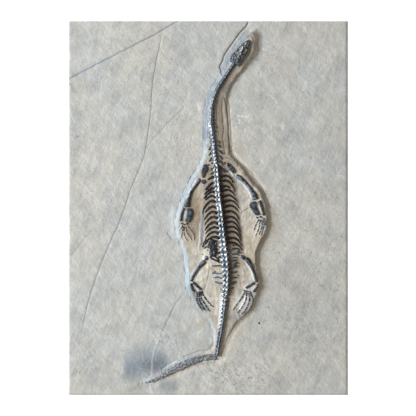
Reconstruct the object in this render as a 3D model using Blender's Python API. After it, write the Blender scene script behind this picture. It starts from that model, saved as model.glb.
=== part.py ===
"""Models a keichousaurus fossil: a sawn limestone slab with one marine reptile skeleton on a raised bed.

Metres, +Z up. The slab lies flat, the skeleton's back faces up, and +Y runs to the head end.
Outlines and paths are in millimetres on the slab, measured from its centre: x to the right, y to the head.
"""

import math

import bmesh
import bpy
import numpy as np
from mathutils import Vector
from mathutils.geometry import delaunay_2d_cdt

MM = 0.001

# Driving dimensions of the stone, in millimetres
SLAB_WIDTH = 196.0
SLAB_LENGTH = 262.0
SLAB_THICKNESS = 15.0
SLAB_ARRIS = 0.8
FLANK_WIDTH = 3.0
DOME_RISE = 2.0
DOME_HALF_WIDTH = 14.0
GAP = 0.35

# The bed's rise above the slab, from the tail's tip at the bottom to the snout, as (y, rise)
BED_RISE = ((-122, 0.9), (-105, 1.8), (-75, 3.0), (-40, 3.6), (125, 3.4))

# How full the rib cage's dome is, as (y, share)
DOME_SHARE = ((-62, 0.0), (-36, 1.0), (16, 1.0), (34, 0.0))

# The bed falls away to the right of the neck and head: its drop, its width, where it starts and its share by y
NECK_SLOPE_DROP = 2.2
NECK_SLOPE_WIDTH = 8.5
NECK_SLOPE_START = ((97, 2.6), (102, 4.6), (112, 5.6), (118, 3.4))
NECK_SLOPE_SHARE = ((30, 0.0), (46, 1.0))

# The middle of the scraped flank round the skeleton: down the left side, round the tail, up the right side
BED_OUTLINE = (
    (30.5, 123.6), (27, 121.6), (24.2, 118.9), (21.4, 114.9), (18, 110.4), (14.9, 106.4), (12.6, 102.4),
    (10.9, 98.5), (8.7, 94.5), (5.9, 90), (3, 85.5), (1, 81), (-0.1, 77), (-0.8, 73), (-1.6, 68), (-1.8, 60),
    (-2, 54), (-2, 48), (-1.8, 42), (-2.3, 37), (-4, 32.5), (-7, 27), (-9.8, 22.5), (-12.8, 17), (-15.4, 11.5),
    (-17.4, 6.5), (-19.3, 1.5), (-20.9, -3.5), (-21.9, -9), (-21.9, -14), (-21.2, -18), (-19.8, -22),
    (-18, -26), (-16.6, -30), (-15.8, -34), (-15.6, -38), (-15, -42), (-14.6, -46), (-15, -50), (-14.8, -54),
    (-13, -58), (-11, -62), (-8.4, -66.6), (-5.4, -71), (-1.8, -75), (1, -78.4), (3.1, -82), (4, -86),
    (4, -91), (3, -96), (0, -99.5), (-6, -101.4), (-12, -103.4), (-18, -105.8), (-24, -108.8), (-30, -112.2),
    (-36, -115.9), (-41, -118.4), (-46, -121), (-46.5, -123.4), (-41, -123.6), (-35, -121.8), (-28, -118.4),
    (-22, -115.9), (-17, -113.4), (-12, -111.2), (-6, -109.4), (0, -108.6), (6.5, -107.6), (9.6, -104.5),
    (11.2, -100), (12.6, -95), (14.2, -91), (16.4, -87), (18.8, -83.3), (21.8, -79.8), (25.5, -76.4),
    (29.4, -72.3), (32.4, -67.6), (34.6, -62.8), (36.2, -57.8), (36.8, -53), (36.4, -48), (35.6, -43),
    (35, -38), (35, -33), (35.8, -28.5), (38, -24), (40.6, -19.4), (42, -15), (42.6, -10), (42.4, -5),
    (41.9, 0), (40.7, 5), (38.8, 9.6), (36, 14.2), (33, 18.2), (29.8, 22.2), (26.6, 26.2), (23.2, 30.2),
    (19.6, 33.8), (17, 37), (15.4, 41), (15, 47), (14.6, 54), (14, 62), (13.2, 70), (13, 76), (14, 81),
    (16.5, 86.5), (20, 91.5), (24, 96.4), (28.6, 101), (33, 105.6), (34.9, 110), (35, 115.3), (34.7, 119.6),
    (33.3, 122.8),
)

# The midline of the skeleton in its four runs, as (x, y, width)
NECK_LINE = (
    (17.7, 100.2, 3), (15.8, 97.4, 3.2), (12.8, 93, 3.3), (10, 89, 3.3), (7.3, 85, 3.4), (4.9, 80, 3.4),
    (3.3, 75, 3.5),
    (2.4, 70, 3.6), (2, 65, 3.7), (2, 60, 3.9), (2.5, 55, 4), (2.9, 50, 4.1), (3.5, 45, 4), (4, 40, 3.8),
    (4.5, 35, 3.7), (4.9, 31.3, 3.7),
)
BACK_LINE = (
    (5, 30.6, 3.7), (5.5, 26, 3.8), (6.1, 18, 3.9), (6.9, 8, 4), (7.6, 2, 4), (8.3, -3, 4.1), (9, -10, 4.2),
    (9.7, -18, 4.5), (10.5, -26, 5.4), (11.2, -32, 5.9), (12.1, -40, 5.2), (12.4, -48, 4.8), (12.2, -56, 4.4),
    (11.7, -61, 4.3),
)
TAIL_LINE = (
    (11.6, -61.7, 4.2), (11.2, -66, 4.2), (10.6, -73, 3.8), (9.8, -80, 3.1), (8.8, -85, 3.6), (8.1, -90, 3.3),
    (7.2, -95, 3.2), (6.4, -100, 3.1), (5.9, -103, 3),
)
TAIL_END_LINE = (
    (4.9, -104.5, 3.4), (1, -104.3, 3.8), (-4, -105, 3.9), (-10, -106.8, 4.1), (-16, -109.2, 4.3),
    (-22, -111.9, 4.1), (-28, -115, 3.5), (-33, -117.8, 2.8), (-38, -120.3, 2.3), (-44.5, -122.2, 1.1),
)
NECK_PITCH = 2.55
BACK_PITCH = 3.5
TAIL_PITCH = 2.8
TAIL_END_PITCH = 2.6
NECK_HEIGHT = 2.8
BACK_HEIGHT = 3.0
TAIL_HEIGHT = 2.4
TAIL_END_HEIGHT = 1.5
JOINT_WIDTH_SHARE = 0.68
JOINT_HEIGHT_SHARE = 0.74

# Cross-sections from one lower edge over the top to the other, as (share of half width, share of height)
VERTEBRA_SECTION = ((-1, 0), (-1, 0.42), (-0.38, 0.62), (0, 1), (0.38, 0.62), (1, 0.42), (1, 0))
LIMB_SECTION = ((-1, 0), (-0.88, 0.62), (-0.34, 1), (0.34, 1), (0.88, 0.62), (1, 0))
SLIM_SECTION = ((-1, 0), (-0.62, 1), (0.62, 1), (1, 0))

# Neck ribs and hip ribs as (start, tip), each growing out of the row of vertebrae
NECK_RIBS = (
    ((3, 43.6), (0.2, 40)), ((3.4, 40.2), (0.1, 36.2)), ((4, 35.8), (0.4, 32.2)), ((3.6, 54.5), (5.9, 52.6)),
    ((3.4, 57.4), (5.5, 56)), ((4.2, 48.2), (8.1, 45)), ((4.4, 45.4), (8.6, 42.2)), ((4.8, 42), (9.8, 37.6)),
    ((5, 38.4), (9.6, 34)), ((5.2, 34.8), (10.4, 29.8)), ((2.8, 46.6), (1, 45)), ((2.2, 52.6), (0.5, 51.4)),
    ((2.4, 49.6), (0.7, 48)), ((4.2, 32.2), (1.8, 30)),
)
HIP_RIBS = (
    ((11, -39.2), (5, -36.6)), ((11, -40.7), (2.6, -40.5)), ((11, -46), (2.9, -46)),
    ((11.4, -49.2), (3.9, -48.9)), ((11.4, -53), (4.6, -51.7)), ((11.4, -57), (8.3, -56.8)),
    ((13.4, -32.5), (21, -33)), ((13.4, -37), (20, -37)), ((13.6, -42), (20, -40.8)), ((14, -45.4), (20, -44.7)),
    ((14, -49), (20, -48.5)), ((13.8, -53), (19.2, -51.7)), ((13.4, -56.7), (17.8, -55.7)),
)
SPUR_WIDTH = 0.95
SPUR_HEIGHT = 1.1

LEFT_RIBS = (
    ((3, 21.7), (1.5, 21.4), (-0.2, 20)),
    ((2.9, 17.7), (1, 16.3), (-0.5, 14.8), (-2, 12.7)),
    ((3, 14.1), (1, 13.2), (-0.8, 11.8), (-2.7, 9.5)),
    ((3.9, 11.2), (1.7, 11.5), (-0.3, 10.2), (-1.6, 8.6), (-3, 6.6)),
    ((4.3, 7.9), (2.7, 8.6), (0.8, 8.2), (-0.8, 6.8), (-1.9, 5.7)),
    ((4.7, 4.5), (3, 5.3), (1, 4.7), (-1, 3), (-2.8, 0.3), (-3.7, -3), (-3.9, -6)),
    ((5.2, 0.3), (3.5, 1.2), (1.5, 0.8), (-0.5, -0.8), (-2.1, -3)),
    ((5.8, -3.7), (4.5, -3), (3, -2.3), (1, -3.2), (-1, -5.1), (-2.6, -8.2)),
    ((6.2, -7.2), (4.6, -6.3), (3, -6), (1, -7), (-1, -9.1), (-2.6, -12.2)),
    ((6.4, -11), (5, -9.9), (3.3, -9.9), (1.5, -10.6), (-0.5, -12.4), (-2.3, -15.6)),
    ((6.7, -14), (5.4, -13.1), (3.8, -13.3), (2, -13.8), (0, -15.2), (-2, -18.2)),
    ((7, -17.8), (5.5, -16.8), (3.5, -16.6), (1.5, -17.3), (-0.5, -19.1), (-2.3, -22)),
    ((7.2, -21), (5.8, -20.3), (4, -20), (2.3, -20.3), (0.5, -21.2), (-1.2, -23.2), (-2.8, -26), (-3.6, -28)),
)
RIGHT_RIBS = (
    ((9, 22), (12, 22.7), (13.8, 22.3), (15.5, 20.8), (16.8, 19), (17.4, 17.7)),
    ((9.1, 19), (11.5, 19.4), (13.6, 18.8), (15.2, 17.5), (16.9, 15.2), (18.1, 13), (18.7, 11.5)),
    ((9, 14.7), (11.5, 15.5), (13.3, 15.2), (14.8, 14.2)),
    ((9.2, 11.9), (12, 12.8), (14, 12.8), (16, 11.7), (17.5, 10.2), (18.8, 8.5)),
    ((9.8, 7.6), (13, 9), (15, 8.9), (17, 7.8), (19, 6), (21.5, 2.7)),
    ((10.2, 3.9), (13.5, 5.5), (16, 5.3), (18.3, 4), (20.5, 1.6), (22, -0.7), (22.9, -3)),
    ((10.7, 0.6), (14, 1.9), (16, 1.7), (18.5, 0.3), (20.5, -1.7), (21.9, -4)),
    ((11.1, -3.3), (14.5, -1.9), (16.5, -2.3), (18.5, -3.6), (20.5, -6), (22.3, -9)),
    ((11.5, -7.1), (15.3, -5.8), (17.5, -6.6), (19.5, -8.4), (21.4, -11), (22.6, -13.4)),
    ((11.8, -10.4), (15.5, -9.3), (17.8, -10), (20, -12), (21.8, -14.6), (23, -17.4)),
    ((12.3, -13.8), (15.5, -12.8), (18, -13.2), (20, -14.8), (22, -17.6), (23.4, -21)),
    ((12.7, -17.4), (16, -16.3), (18, -16.6), (20, -18), (22, -20.6), (23.7, -24.4)),
    ((13.6, -21.3), (16, -20.6), (18, -20.8), (20, -22), (22, -24), (24.2, -27.6)),
    ((14.1, -24.4), (16, -24), (18, -24.3), (20, -25.4), (22, -27), (24, -29.7)),
)
RIB_ROOT_WIDTH = 1.15
RIB_TIP_WIDTH = 0.75
RIB_HEIGHT = 1.05

# Long bones as stations (x, y, width, height)
LONG_BONES = {
    "left_humerus": (
        (-6, 19.7, 2.5, 1.6), (-7.4, 18.6, 3, 2.1), (-9.3, 16, 2.4, 2.1), (-11.7, 12.5, 2.1, 1.9),
        (-13.3, 8.5, 2.2, 1.9), (-14.3, 4.5, 2.7, 2), (-14.8, 2, 3.7, 2), (-14.9, 1, 3.9, 1.6),
    ),
    "right_humerus": (
        (19.6, 22.3, 2.2, 1.6), (21.2, 21.6, 2.9, 2.1), (23.5, 19.9, 2.5, 2.1), (26.2, 17.3, 2, 1.9),
        (28.6, 14.5, 2, 1.9), (30.6, 11.5, 2.5, 2), (32.2, 8.5, 3.9, 2), (32.8, 6.2, 4.1, 1.6),
    ),
    "left_radius": (
        (-17, -0.3, 1.5, 1.3), (-18, -2, 1.4, 1.4), (-18.9, -5, 1.2, 1.4), (-19.3, -9, 1.4, 1.3),
    ),
    "right_radius": (
        (35.8, 4.9, 2.2, 1.4), (36.8, 2.6, 1.8, 1.5), (38, -1.2, 1.4, 1.4), (38.9, -4.8, 1.4, 1.3),
    ),
    "left_femur": (
        (-2.6, -37.3, 2.6, 1.6), (-4, -38.6, 2.9, 2.1), (-5.7, -40, 2.3, 2), (-7.5, -42.3, 1.8, 1.8),
        (-9.5, -45.3, 1.6, 1.7), (-11.2, -48.5, 1.6, 1.7), (-12.1, -51, 1.8, 1.6),
    ),
    "right_femur": (
        (26.5, -35.4, 2.6, 1.6), (27.7, -36.8, 3, 2.1), (29.2, -39, 2.4, 2), (31, -42.5, 1.6, 1.8),
        (32.3, -46, 1.4, 1.7), (33.3, -49.5, 1.5, 1.6), (33.8, -51.4, 1.9, 1.5),
    ),
    "left_tibia": ((-10.4, -52, 1.3, 1.2), (-7.4, -54.8, 1.1, 1.2), (-5.1, -56.9, 1.3, 1.1)),
    "left_fibula": ((-12.1, -52.9, 1.3, 1.2), (-11, -56.6, 1.1, 1.2), (-9.6, -58, 1.3, 1.1)),
    "right_tibia": ((32.1, -52.3, 1.4, 1.2), (29.5, -53.6, 1.2, 1.2), (26.3, -55.7, 1.4, 1.1)),
    "right_fibula": ((34.6, -53.2, 1.4, 1.2), (33.5, -55.8, 1.1, 1.2), (31.6, -58.2, 1.4, 1.1)),
}

# Flat bones as an outline and a thickness
FLAT_BONES = {
    "left_scapula": (
        ((-2, 30.4), (-1.1, 28.9), (-0.5, 27.4), (-0.9, 25.8), (-2, 24.1), (-3, 22.3), (-3.5, 21.2),
         (-4.3, 22.5), (-4.5, 25), (-4, 27.5), (-3.2, 29.4)), 1.4),
    "left_coracoid": (
        ((-4.8, 18.9), (-4.4, 17.5), (-3.1, 17), (-2, 17.6), (-1.9, 19), (-2.7, 19.7), (-4, 19.6)), 1.2),
    "right_scapula": (
        ((13.4, 31.4), (14.5, 31), (16, 29.4), (17.5, 28), (18.2, 26.3), (17.8, 24.6), (16.8, 25),
         (15.2, 26.5), (13.8, 28.2), (13, 29.5)), 1.4),
    "left_ulna": (
        ((-14.7, -0.4), (-12.1, -0.4), (-11.1, -2), (-10.8, -4), (-11.5, -6), (-12.5, -8.4), (-13.5, -9.7),
         (-15.4, -9.7), (-16.1, -8.5), (-15, -6), (-14.7, -3)), 1.4),
    "right_ulna": (
        ((31, 4.2), (33, 4.3), (33.4, 3.2), (33.6, 1), (34.5, -1.5), (35.9, -3.9), (35.4, -4.7), (33, -4.7),
         (32, -3.5), (30.8, -1.5), (29.3, 0.5), (28.8, 2), (29.5, 3.4)), 1.4),
    "left_pelvis": (
        ((-3, -34.3), (-2, -33.6), (-0.9, -34), (-0.5, -35), (-1, -35.9), (-2, -36.2), (-2.9, -35.7)), 1.4),
    "right_pelvis": (
        ((22.8, -33.2), (24, -33.1), (25.6, -34.6), (25, -36), (23.6, -35.4), (22.6, -34.4)), 1.2),
}

# Hands and feet: the wrist's or ankle's pad as stations, then the fingers' or toes' paths
LIMB_ENDS = {
    "left_hand": (
        ((-17, -11, 4, 0.9), (-16.2, -12.3, 4.6, 1), (-16, -13.9, 4, 0.9)),
        (((-15, -12), (-13.5, -13.4), (-12, -15.5), (-10.7, -17.3), (-9.7, -20), (-9.8, -22.5)),
         ((-15.5, -13.2), (-15.2, -16.2), (-14.1, -18.4), (-12.6, -20.2), (-11.3, -22.6)),
         ((-16.6, -13.2), (-16.9, -16.8), (-16.6, -19.5), (-15.7, -21.3), (-14.6, -22.8)),
         ((-17.4, -12.8), (-18, -16.2), (-18.4, -18.6), (-18.6, -20.3)),
         ((-17.8, -12), (-19.2, -14.6)))),
    "right_hand": (
        ((36.3, -6.2, 4.6, 0.9), (36.8, -7.8, 5.6, 1), (37.2, -9.4, 5, 0.9)),
        (((35.6, -8.4), (33.6, -11.1), (32.6, -13.6), (31.8, -15.7)),
         ((36.3, -8.6), (35.6, -12.8), (34.4, -16.5), (33, -19.7)),
         ((37.3, -8.6), (37.6, -12), (36.7, -15.6), (35.4, -18.8)),
         ((38.2, -8.4), (39.1, -11.2), (38.3, -14.6), (37.2, -18.2), (36.8, -19.3)),
         ((38.8, -8), (40.2, -10.4), (40.1, -12.4)))),
    "left_foot": (
        ((-4.2, -58.3, 1.2, 0.8), (-5.9, -58.7, 1.6, 1), (-7.8, -59.3, 1.2, 0.8)),
        (((-4.8, -58.6), (-2.5, -62.3), (0.2, -65.8), (2.4, -68.1), (4.2, -69)),
         ((-5.4, -59), (-4.4, -63.8), (-2.2, -67), (-0.4, -69.9), (1.4, -72.4)),
         ((-6.4, -59.1), (-6, -64.6), (-4.2, -68.2), (-2.1, -71.4)),
         ((-7.4, -59.2), (-7.7, -64.6), (-5.9, -68.6), (-4, -70.8)))),
    "right_foot": (
        ((25.2, -57.6, 1.4, 0.8), (27.4, -58.7, 1.8, 1), (29.8, -59.5, 1.4, 0.8)),
        (((26, -58.2), (23.6, -62.3), (20.5, -66.7), (17.4, -71.2)),
         ((27, -58.6), (26.2, -64.4), (23.9, -69), (20.5, -73.4)),
         ((28.2, -59), (28.8, -63.6), (27.6, -68.1), (25.4, -72), (23.1, -74.1)),
         ((29.2, -59.2), (31.2, -63.6), (30.4, -68.1), (28, -71.9)))),
}
DIGIT_WIDTH = 0.85
DIGIT_HEIGHT = 0.85

# The skull along its own axis: the middle of the back edge, the snout's tip, then the two edges' distances
SKULL_BACK = (18.9, 100.2)
SKULL_SNOUT = (29, 117.5)
SKULL_STATIONS = (
    (0, 4.2, 3, 1.9), (1.6, 5, 3.3, 2.4), (4.5, 5.3, 3.4, 2.8), (7.6, 4.9, 3.5, 2.9), (10.6, 4.2, 3.4, 2.8),
    (13.6, 3.6, 2.9, 2.4), (16.4, 2.6, 2.2, 2), (18.4, 1.6, 1.4, 1.6), (19.6, 0.8, 0.7, 1.2),
)
SKULL_SECTION = ((-1, 0), (-0.96, 0.5), (-0.62, 0.88), (0, 1), (0.62, 0.88), (0.96, 0.5), (1, 0))
# Openings in the skull's roof as (x, y, half length, half width)
SKULL_OPENINGS = (
    (22, 111.3, 2.4, 1.55), (25.4, 109.3, 2.3, 1.2), (18.5, 104.9, 1.3, 0.9), (22.9, 103.1, 1.3, 0.8),
)
OPENING_DEPTH = 1.7

GUT_OUTLINE = (
    (1.7, -22.2), (4, -22.4), (5.6, -23.8), (6, -27), (5.8, -30), (6, -32.4), (4.5, -34), (2, -33.9),
    (0.8, -32.2), (1.2, -30.4), (0.4, -28.6), (-0.7, -27.4), (0.1, -25.5), (0.5, -23.6),
)
GUT_HEIGHT = 1.3

STONE_COLOUR = (0.50, 0.48, 0.44, 1)
BONE_COLOUR = (0.045, 0.055, 0.075, 1)


def clear_scene():
    for old in list(bpy.data.objects):
        bpy.data.objects.remove(old, do_unlink=True)


def make_collection(name):
    collection = bpy.data.collections.new(name)
    bpy.context.scene.collection.children.link(collection)
    return collection


def make_material(name, colour, roughness):
    material = bpy.data.materials.new(name)
    material.use_nodes = True
    shader = material.node_tree.nodes["Principled BSDF"]
    shader.inputs["Base Color"].default_value = colour
    shader.inputs["Roughness"].default_value = roughness
    shader.inputs["Metallic"].default_value = 0.0
    return material


def smooth_path(points, step):
    """Points about one step apart on a smooth curve through the given ones, further columns included."""
    given = np.array(points, float)
    chord = np.concatenate([[0], np.cumsum(np.linalg.norm(np.diff(given[:, :2], axis=0), axis=1))])
    slope = np.gradient(given, chord, axis=0)
    at = np.linspace(0, chord[-1], max(2, round(chord[-1] / step) + 1))
    piece = np.clip(np.searchsorted(chord, at, side="right") - 1, 0, len(chord) - 2)
    span = chord[piece + 1] - chord[piece]
    t = ((at - chord[piece]) / span)[:, None]
    span = span[:, None]
    return (
        (2 * t**3 - 3 * t**2 + 1) * given[piece]
        + (t**3 - 2 * t**2 + t) * span * slope[piece]
        + (3 * t**2 - 2 * t**3) * given[piece + 1]
        + (t**3 - t**2) * span * slope[piece + 1]
    )


def sideways(path):
    """The unit vector to the right of the path's run at each of its points."""
    run = np.gradient(path[:, :2], axis=0)
    run /= np.linalg.norm(run, axis=1)[:, None]
    return np.stack([run[:, 1], -run[:, 0]], axis=1)


def depth_inside(x, y):
    """How far a point lies inside the bed's outline; outside it the number is negative."""
    point = np.array((x, y))
    start = np.array(BED_OUTLINE, float)
    edge = np.roll(start, -1, axis=0) - start
    share = np.clip(((point - start) * edge).sum(1) / (edge**2).sum(1), 0, 1)
    nearest = np.linalg.norm(start + edge * share[:, None] - point, axis=1).min()
    end = start + edge
    crosses = (start[:, 1] > y) != (end[:, 1] > y)
    rise = np.where(crosses, end[:, 1] - start[:, 1], 1)
    cut = start[:, 0] + (y - start[:, 1]) / rise * edge[:, 0]
    inside = np.count_nonzero(crosses & (x < cut)) % 2
    return nearest if inside else -nearest


def midline_x(y):
    """Where the skull and the row of vertebrae cross a given y."""
    line = sorted((point[1], point[0]) for point in NECK_LINE + BACK_LINE + TAIL_LINE + (SKULL_SNOUT,))
    return np.interp(y, *zip(*line))


def stone_top(x, y):
    """Height of the stone's upper surface over the slab's underside."""
    flank = np.interp(depth_inside(x, y), (-FLANK_WIDTH / 2, FLANK_WIDTH / 2), (0, 1))
    rise = np.interp(y, *zip(*BED_RISE))
    to_right = x - midline_x(y)
    dome = DOME_RISE * np.interp(y, *zip(*DOME_SHARE)) * max(0.0, 1 - (to_right / DOME_HALF_WIDTH) ** 2)
    slope_start = np.interp(y, *zip(*NECK_SLOPE_START))
    fallen = np.clip((to_right - slope_start) / NECK_SLOPE_WIDTH, 0, 1)
    drop = NECK_SLOPE_DROP * fallen * np.interp(y, *zip(*NECK_SLOPE_SHARE))
    return SLAB_THICKNESS + flank * (rise + dome - drop)


def add_object(mesh, name, collection, material):
    mesh.materials.append(material)
    piece = bpy.data.objects.new(name, mesh)
    collection.objects.link(piece)
    return piece


def mesh_from(built, name):
    """Turns a bmesh in millimetres into a mesh in metres with its faces pointing out."""
    bmesh.ops.scale(built, vec=(MM, MM, MM), verts=built.verts)
    bmesh.ops.recalc_face_normals(built, faces=built.faces)
    mesh = bpy.data.meshes.new(name)
    built.to_mesh(mesh)
    built.free()
    return mesh


def rectangle(half_width, half_length, step):
    """Points round a rectangle, about one step apart."""
    corners = ((-1, -1), (1, -1), (1, 1), (-1, 1))
    ring = []
    for (ax, ay), (bx, by) in zip(corners, corners[1:] + corners[:1]):
        a = Vector((ax * half_width, ay * half_length))
        b = Vector((bx * half_width, by * half_length))
        count = round((b - a).length / step)
        ring += [a.lerp(b, i / count) for i in range(count)]
    return ring


def make_slab(collection, material):
    """The stone: a flat-bottomed slab whose top follows the bed, its flank and the rib cage's dome."""
    edge_step = 32.0
    ring_step = 3.2
    grid_step = 3.8
    border = rectangle(SLAB_WIDTH / 2, SLAB_LENGTH / 2, edge_step)
    points = [(p.x, p.y, SLAB_THICKNESS - SLAB_ARRIS) for p in border]
    inner = rectangle(SLAB_WIDTH / 2 - SLAB_ARRIS, SLAB_LENGTH / 2 - SLAB_ARRIS, edge_step)
    points += [(p.x, p.y, SLAB_THICKNESS) for p in inner]

    outline = smooth_path(BED_OUTLINE + BED_OUTLINE[:1], ring_step)[:-1]
    outward = sideways(outline)
    for offset in (FLANK_WIDTH / 2, 0, -FLANK_WIDTH / 2):
        for x, y in outline + outward * offset:
            if abs(depth_inside(x, y) + offset) < FLANK_WIDTH / 5:
                points.append((x, y, stone_top(x, y)))

    row_step = grid_step * math.sqrt(3) / 2
    low, high = np.min(BED_OUTLINE, axis=0), np.max(BED_OUTLINE, axis=0)
    for row, y in enumerate(np.arange(low[1], high[1], row_step)):
        for x in np.arange(low[0] + grid_step / 2 * (row % 2), high[0], grid_step):
            if depth_inside(x, y) > FLANK_WIDTH / 2 + grid_step / 2:
                points.append((x, y, stone_top(x, y)))

    count = len(border)
    kept_edges = [(i, (i + 1) % count) for i in range(count)]
    kept_edges += [(a + count, b + count) for a, b in kept_edges]
    flat = [Vector(p[:2]) for p in points]
    placed, _, faces, sources, _, _ = delaunay_2d_cdt(flat, kept_edges, [], 0, 1e-6)
    built = bmesh.new()
    top = [built.verts.new((p.x, p.y, points[source[0]][2])) for p, source in zip(placed, sources)]
    for face in faces:
        built.faces.new([top[i] for i in face])
    rim = {source[0]: vert for vert, source in zip(top, sources) if source[0] < len(border)}
    foot = [built.verts.new((p.x, p.y, 0)) for p in border]
    for i, low_vert in enumerate(foot):
        j = (i + 1) % len(foot)
        built.faces.new((rim[i], rim[j], foot[j], low_vert))
    built.faces.new(foot)
    return add_object(mesh_from(built, "slab"), "slab", collection, material)


def loft(name, stations, section, collection, material, lift=0.0):
    """A bone that lies on the stone: one cross-section at each station (x, y, left, right, height).

    Left and right are the distances of its two edges from the path.
    """
    stations = np.array(stations, float)
    across = sideways(stations)
    built = bmesh.new()
    rings = []
    for (x, y, left, right, height), (nx, ny) in zip(stations, across):
        reach = (-left, -left / 2, 0, right / 2, right)
        floor = max(stone_top(x + nx * d, y + ny * d) for d in reach) + GAP + lift
        ring = []
        for a, b in section:
            d = a * (left if a < 0 else right)
            ring.append(built.verts.new((x + nx * d, y + ny * d, floor + b * height)))
        rings.append(ring)
    for one, two in zip(rings, rings[1:]):
        for i in range(len(section)):
            j = (i + 1) % len(section)
            built.faces.new((one[i], one[j], two[j], two[i]))
    built.faces.new(rings[0])
    built.faces.new(rings[-1])
    return add_object(mesh_from(built, name), name, collection, material)


def even_stations(path):
    """Stations (x, y, width, height) as (x, y, left, right, height) with the path in the middle."""
    return [(x, y, width / 2, width / 2, height) for x, y, width, height in path]


def make_vertebrae(name, line, pitch, height, collection, material):
    """A run of vertebrae as one ridge: wide and high at each bone, narrow and lower at each joint."""
    stations = []
    for i, (x, y, width) in enumerate(smooth_path(line, pitch / 2)):
        joint = i % 2 == 0
        half = width / 2 * (JOINT_WIDTH_SHARE if joint else 1)
        top = height * (JOINT_HEIGHT_SHARE if joint else 1)
        stations.append((x, y, half, half, top))
    return loft(name, stations, VERTEBRA_SECTION, collection, material)


def make_spurs(name, spurs, collection, material):
    """Short side ribs as one mesh of separate tapered bars, ready to be joined to the row they grow from."""
    bars = []
    for i, (start, tip) in enumerate(spurs):
        path = (
            (*start, SPUR_WIDTH, SPUR_HEIGHT),
            (*np.add(start, tip) / 2, SPUR_WIDTH, SPUR_HEIGHT),
            (*tip, SPUR_WIDTH * 0.7, SPUR_HEIGHT * 0.7),
        )
        bars.append(loft(f"{name}_{i}", even_stations(path), SLIM_SECTION, collection, material, lift=0.04))
    return join_meshes(name, bars, collection, material)


def join_meshes(name, pieces, collection, material):
    """One object that holds the given meshes as separate closed bodies."""
    built = bmesh.new()
    for piece in pieces:
        built.from_mesh(piece.data)
        bpy.data.objects.remove(piece, do_unlink=True)
    mesh = bpy.data.meshes.new(name)
    built.to_mesh(mesh)
    built.free()
    return add_object(mesh, name, collection, material)


def combine(base, other, operation):
    """Joins the other shape to the base or cuts it from it, and keeps the other out of the model."""
    step = base.modifiers.new(f"{operation.lower()} {other.name}", "BOOLEAN")
    step.operation = operation
    step.solver = "EXACT"
    step.object = other
    other.hide_render = True
    other.display_type = "WIRE"


def make_flat_bone(name, outline, thickness, collection, material):
    """A plate-like bone: its outline as a filled 2D curve with rounded edges."""
    edge_round = 0.25
    curve = bpy.data.curves.new(name, "CURVE")
    curve.dimensions = "2D"
    curve.fill_mode = "BOTH"
    curve.extrude = (thickness / 2 - edge_round) * MM
    curve.bevel_depth = edge_round * MM
    curve.bevel_resolution = 0
    curve.offset = -edge_round * MM
    spline = curve.splines.new("POLY")
    spline.points.add(len(outline) - 1)
    for point, (x, y) in zip(spline.points, outline):
        point.co = (x * MM, y * MM, 0, 1)
    spline.use_cyclic_u = True
    curve.materials.append(material)
    piece = bpy.data.objects.new(name, curve)
    floor = max(stone_top(x, y) for x, y in outline) + GAP
    piece.location.z = (floor + thickness / 2) * MM
    collection.objects.link(piece)
    return piece


def make_limb_end(name, pad, digits, collection, spare, material):
    """A hand or foot: the small wrist or ankle bones as one pad, with the digits growing from it."""
    digit_step = 2.6
    base = loft(name, even_stations(pad), LIMB_SECTION, collection, material)
    bars = []
    for i, digit in enumerate(digits):
        path = smooth_path(digit, digit_step) if len(digit) > 2 else np.array(digit, float)
        taper = np.linspace(1, 0.62, len(path))
        stations = [
            (x, y, DIGIT_WIDTH * share, DIGIT_HEIGHT * share) for (x, y), share in zip(path, taper)
        ]
        bars.append(
            loft(f"{name}_digit_{i}", even_stations(stations), SLIM_SECTION, spare, material, lift=0.05)
        )
    for bar in bars:
        combine(base, bar, "UNION")
    return base


def make_skull(collection, spare, material):
    """The skull as a low dome along its axis, with the eye sockets and the openings behind them cut in."""
    back, snout = Vector(SKULL_BACK), Vector(SKULL_SNOUT)
    axis = (snout - back).normalized()
    stations = [(*(back + axis * run), left, right, height) for run, left, right, height in SKULL_STATIONS]
    skull = loft("skull", stations, SKULL_SECTION, collection, material)
    roof = stone_top(*SKULL_BACK) + GAP + max(station[3] for station in SKULL_STATIONS)
    for i, (x, y, half_length, half_width) in enumerate(SKULL_OPENINGS):
        built = bmesh.new()
        bmesh.ops.create_uvsphere(built, u_segments=10, v_segments=6, radius=1)
        mesh = bpy.data.meshes.new(f"skull_opening_{i}")
        bmesh.ops.scale(
            built, vec=Vector((half_width, half_length, OPENING_DEPTH)) * MM, verts=built.verts
        )
        built.to_mesh(mesh)
        built.free()
        cutter = add_object(mesh, mesh.name, spare, material)
        cutter.location = (x * MM, y * MM, roof * MM)
        cutter.rotation_euler.z = math.atan2(axis.y, axis.x) - math.pi / 2
        combine(skull, cutter, "DIFFERENCE")
    return skull


def make_gut_mass(collection, material):
    """The dark lump of crushed belly bones: its outline drawn in and up to a low rounded top."""
    rings = ((1, 0), (0.95, 0.55), (0.55, 1))
    centre = np.mean(GUT_OUTLINE, axis=0)
    floor = max(stone_top(x, y) for x, y in GUT_OUTLINE) + GAP
    built = bmesh.new()
    loops = []
    for share, height in rings:
        loop = [centre + (np.array(p) - centre) * share for p in GUT_OUTLINE]
        loops.append([built.verts.new((x, y, floor + height * GUT_HEIGHT)) for x, y in loop])
    for one, two in zip(loops, loops[1:]):
        for i in range(len(one)):
            j = (i + 1) % len(one)
            built.faces.new((one[i], one[j], two[j], two[i]))
    built.faces.new(loops[0])
    built.faces.new(loops[-1])
    return add_object(mesh_from(built, "gut_mass"), "gut_mass", collection, material)


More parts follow.
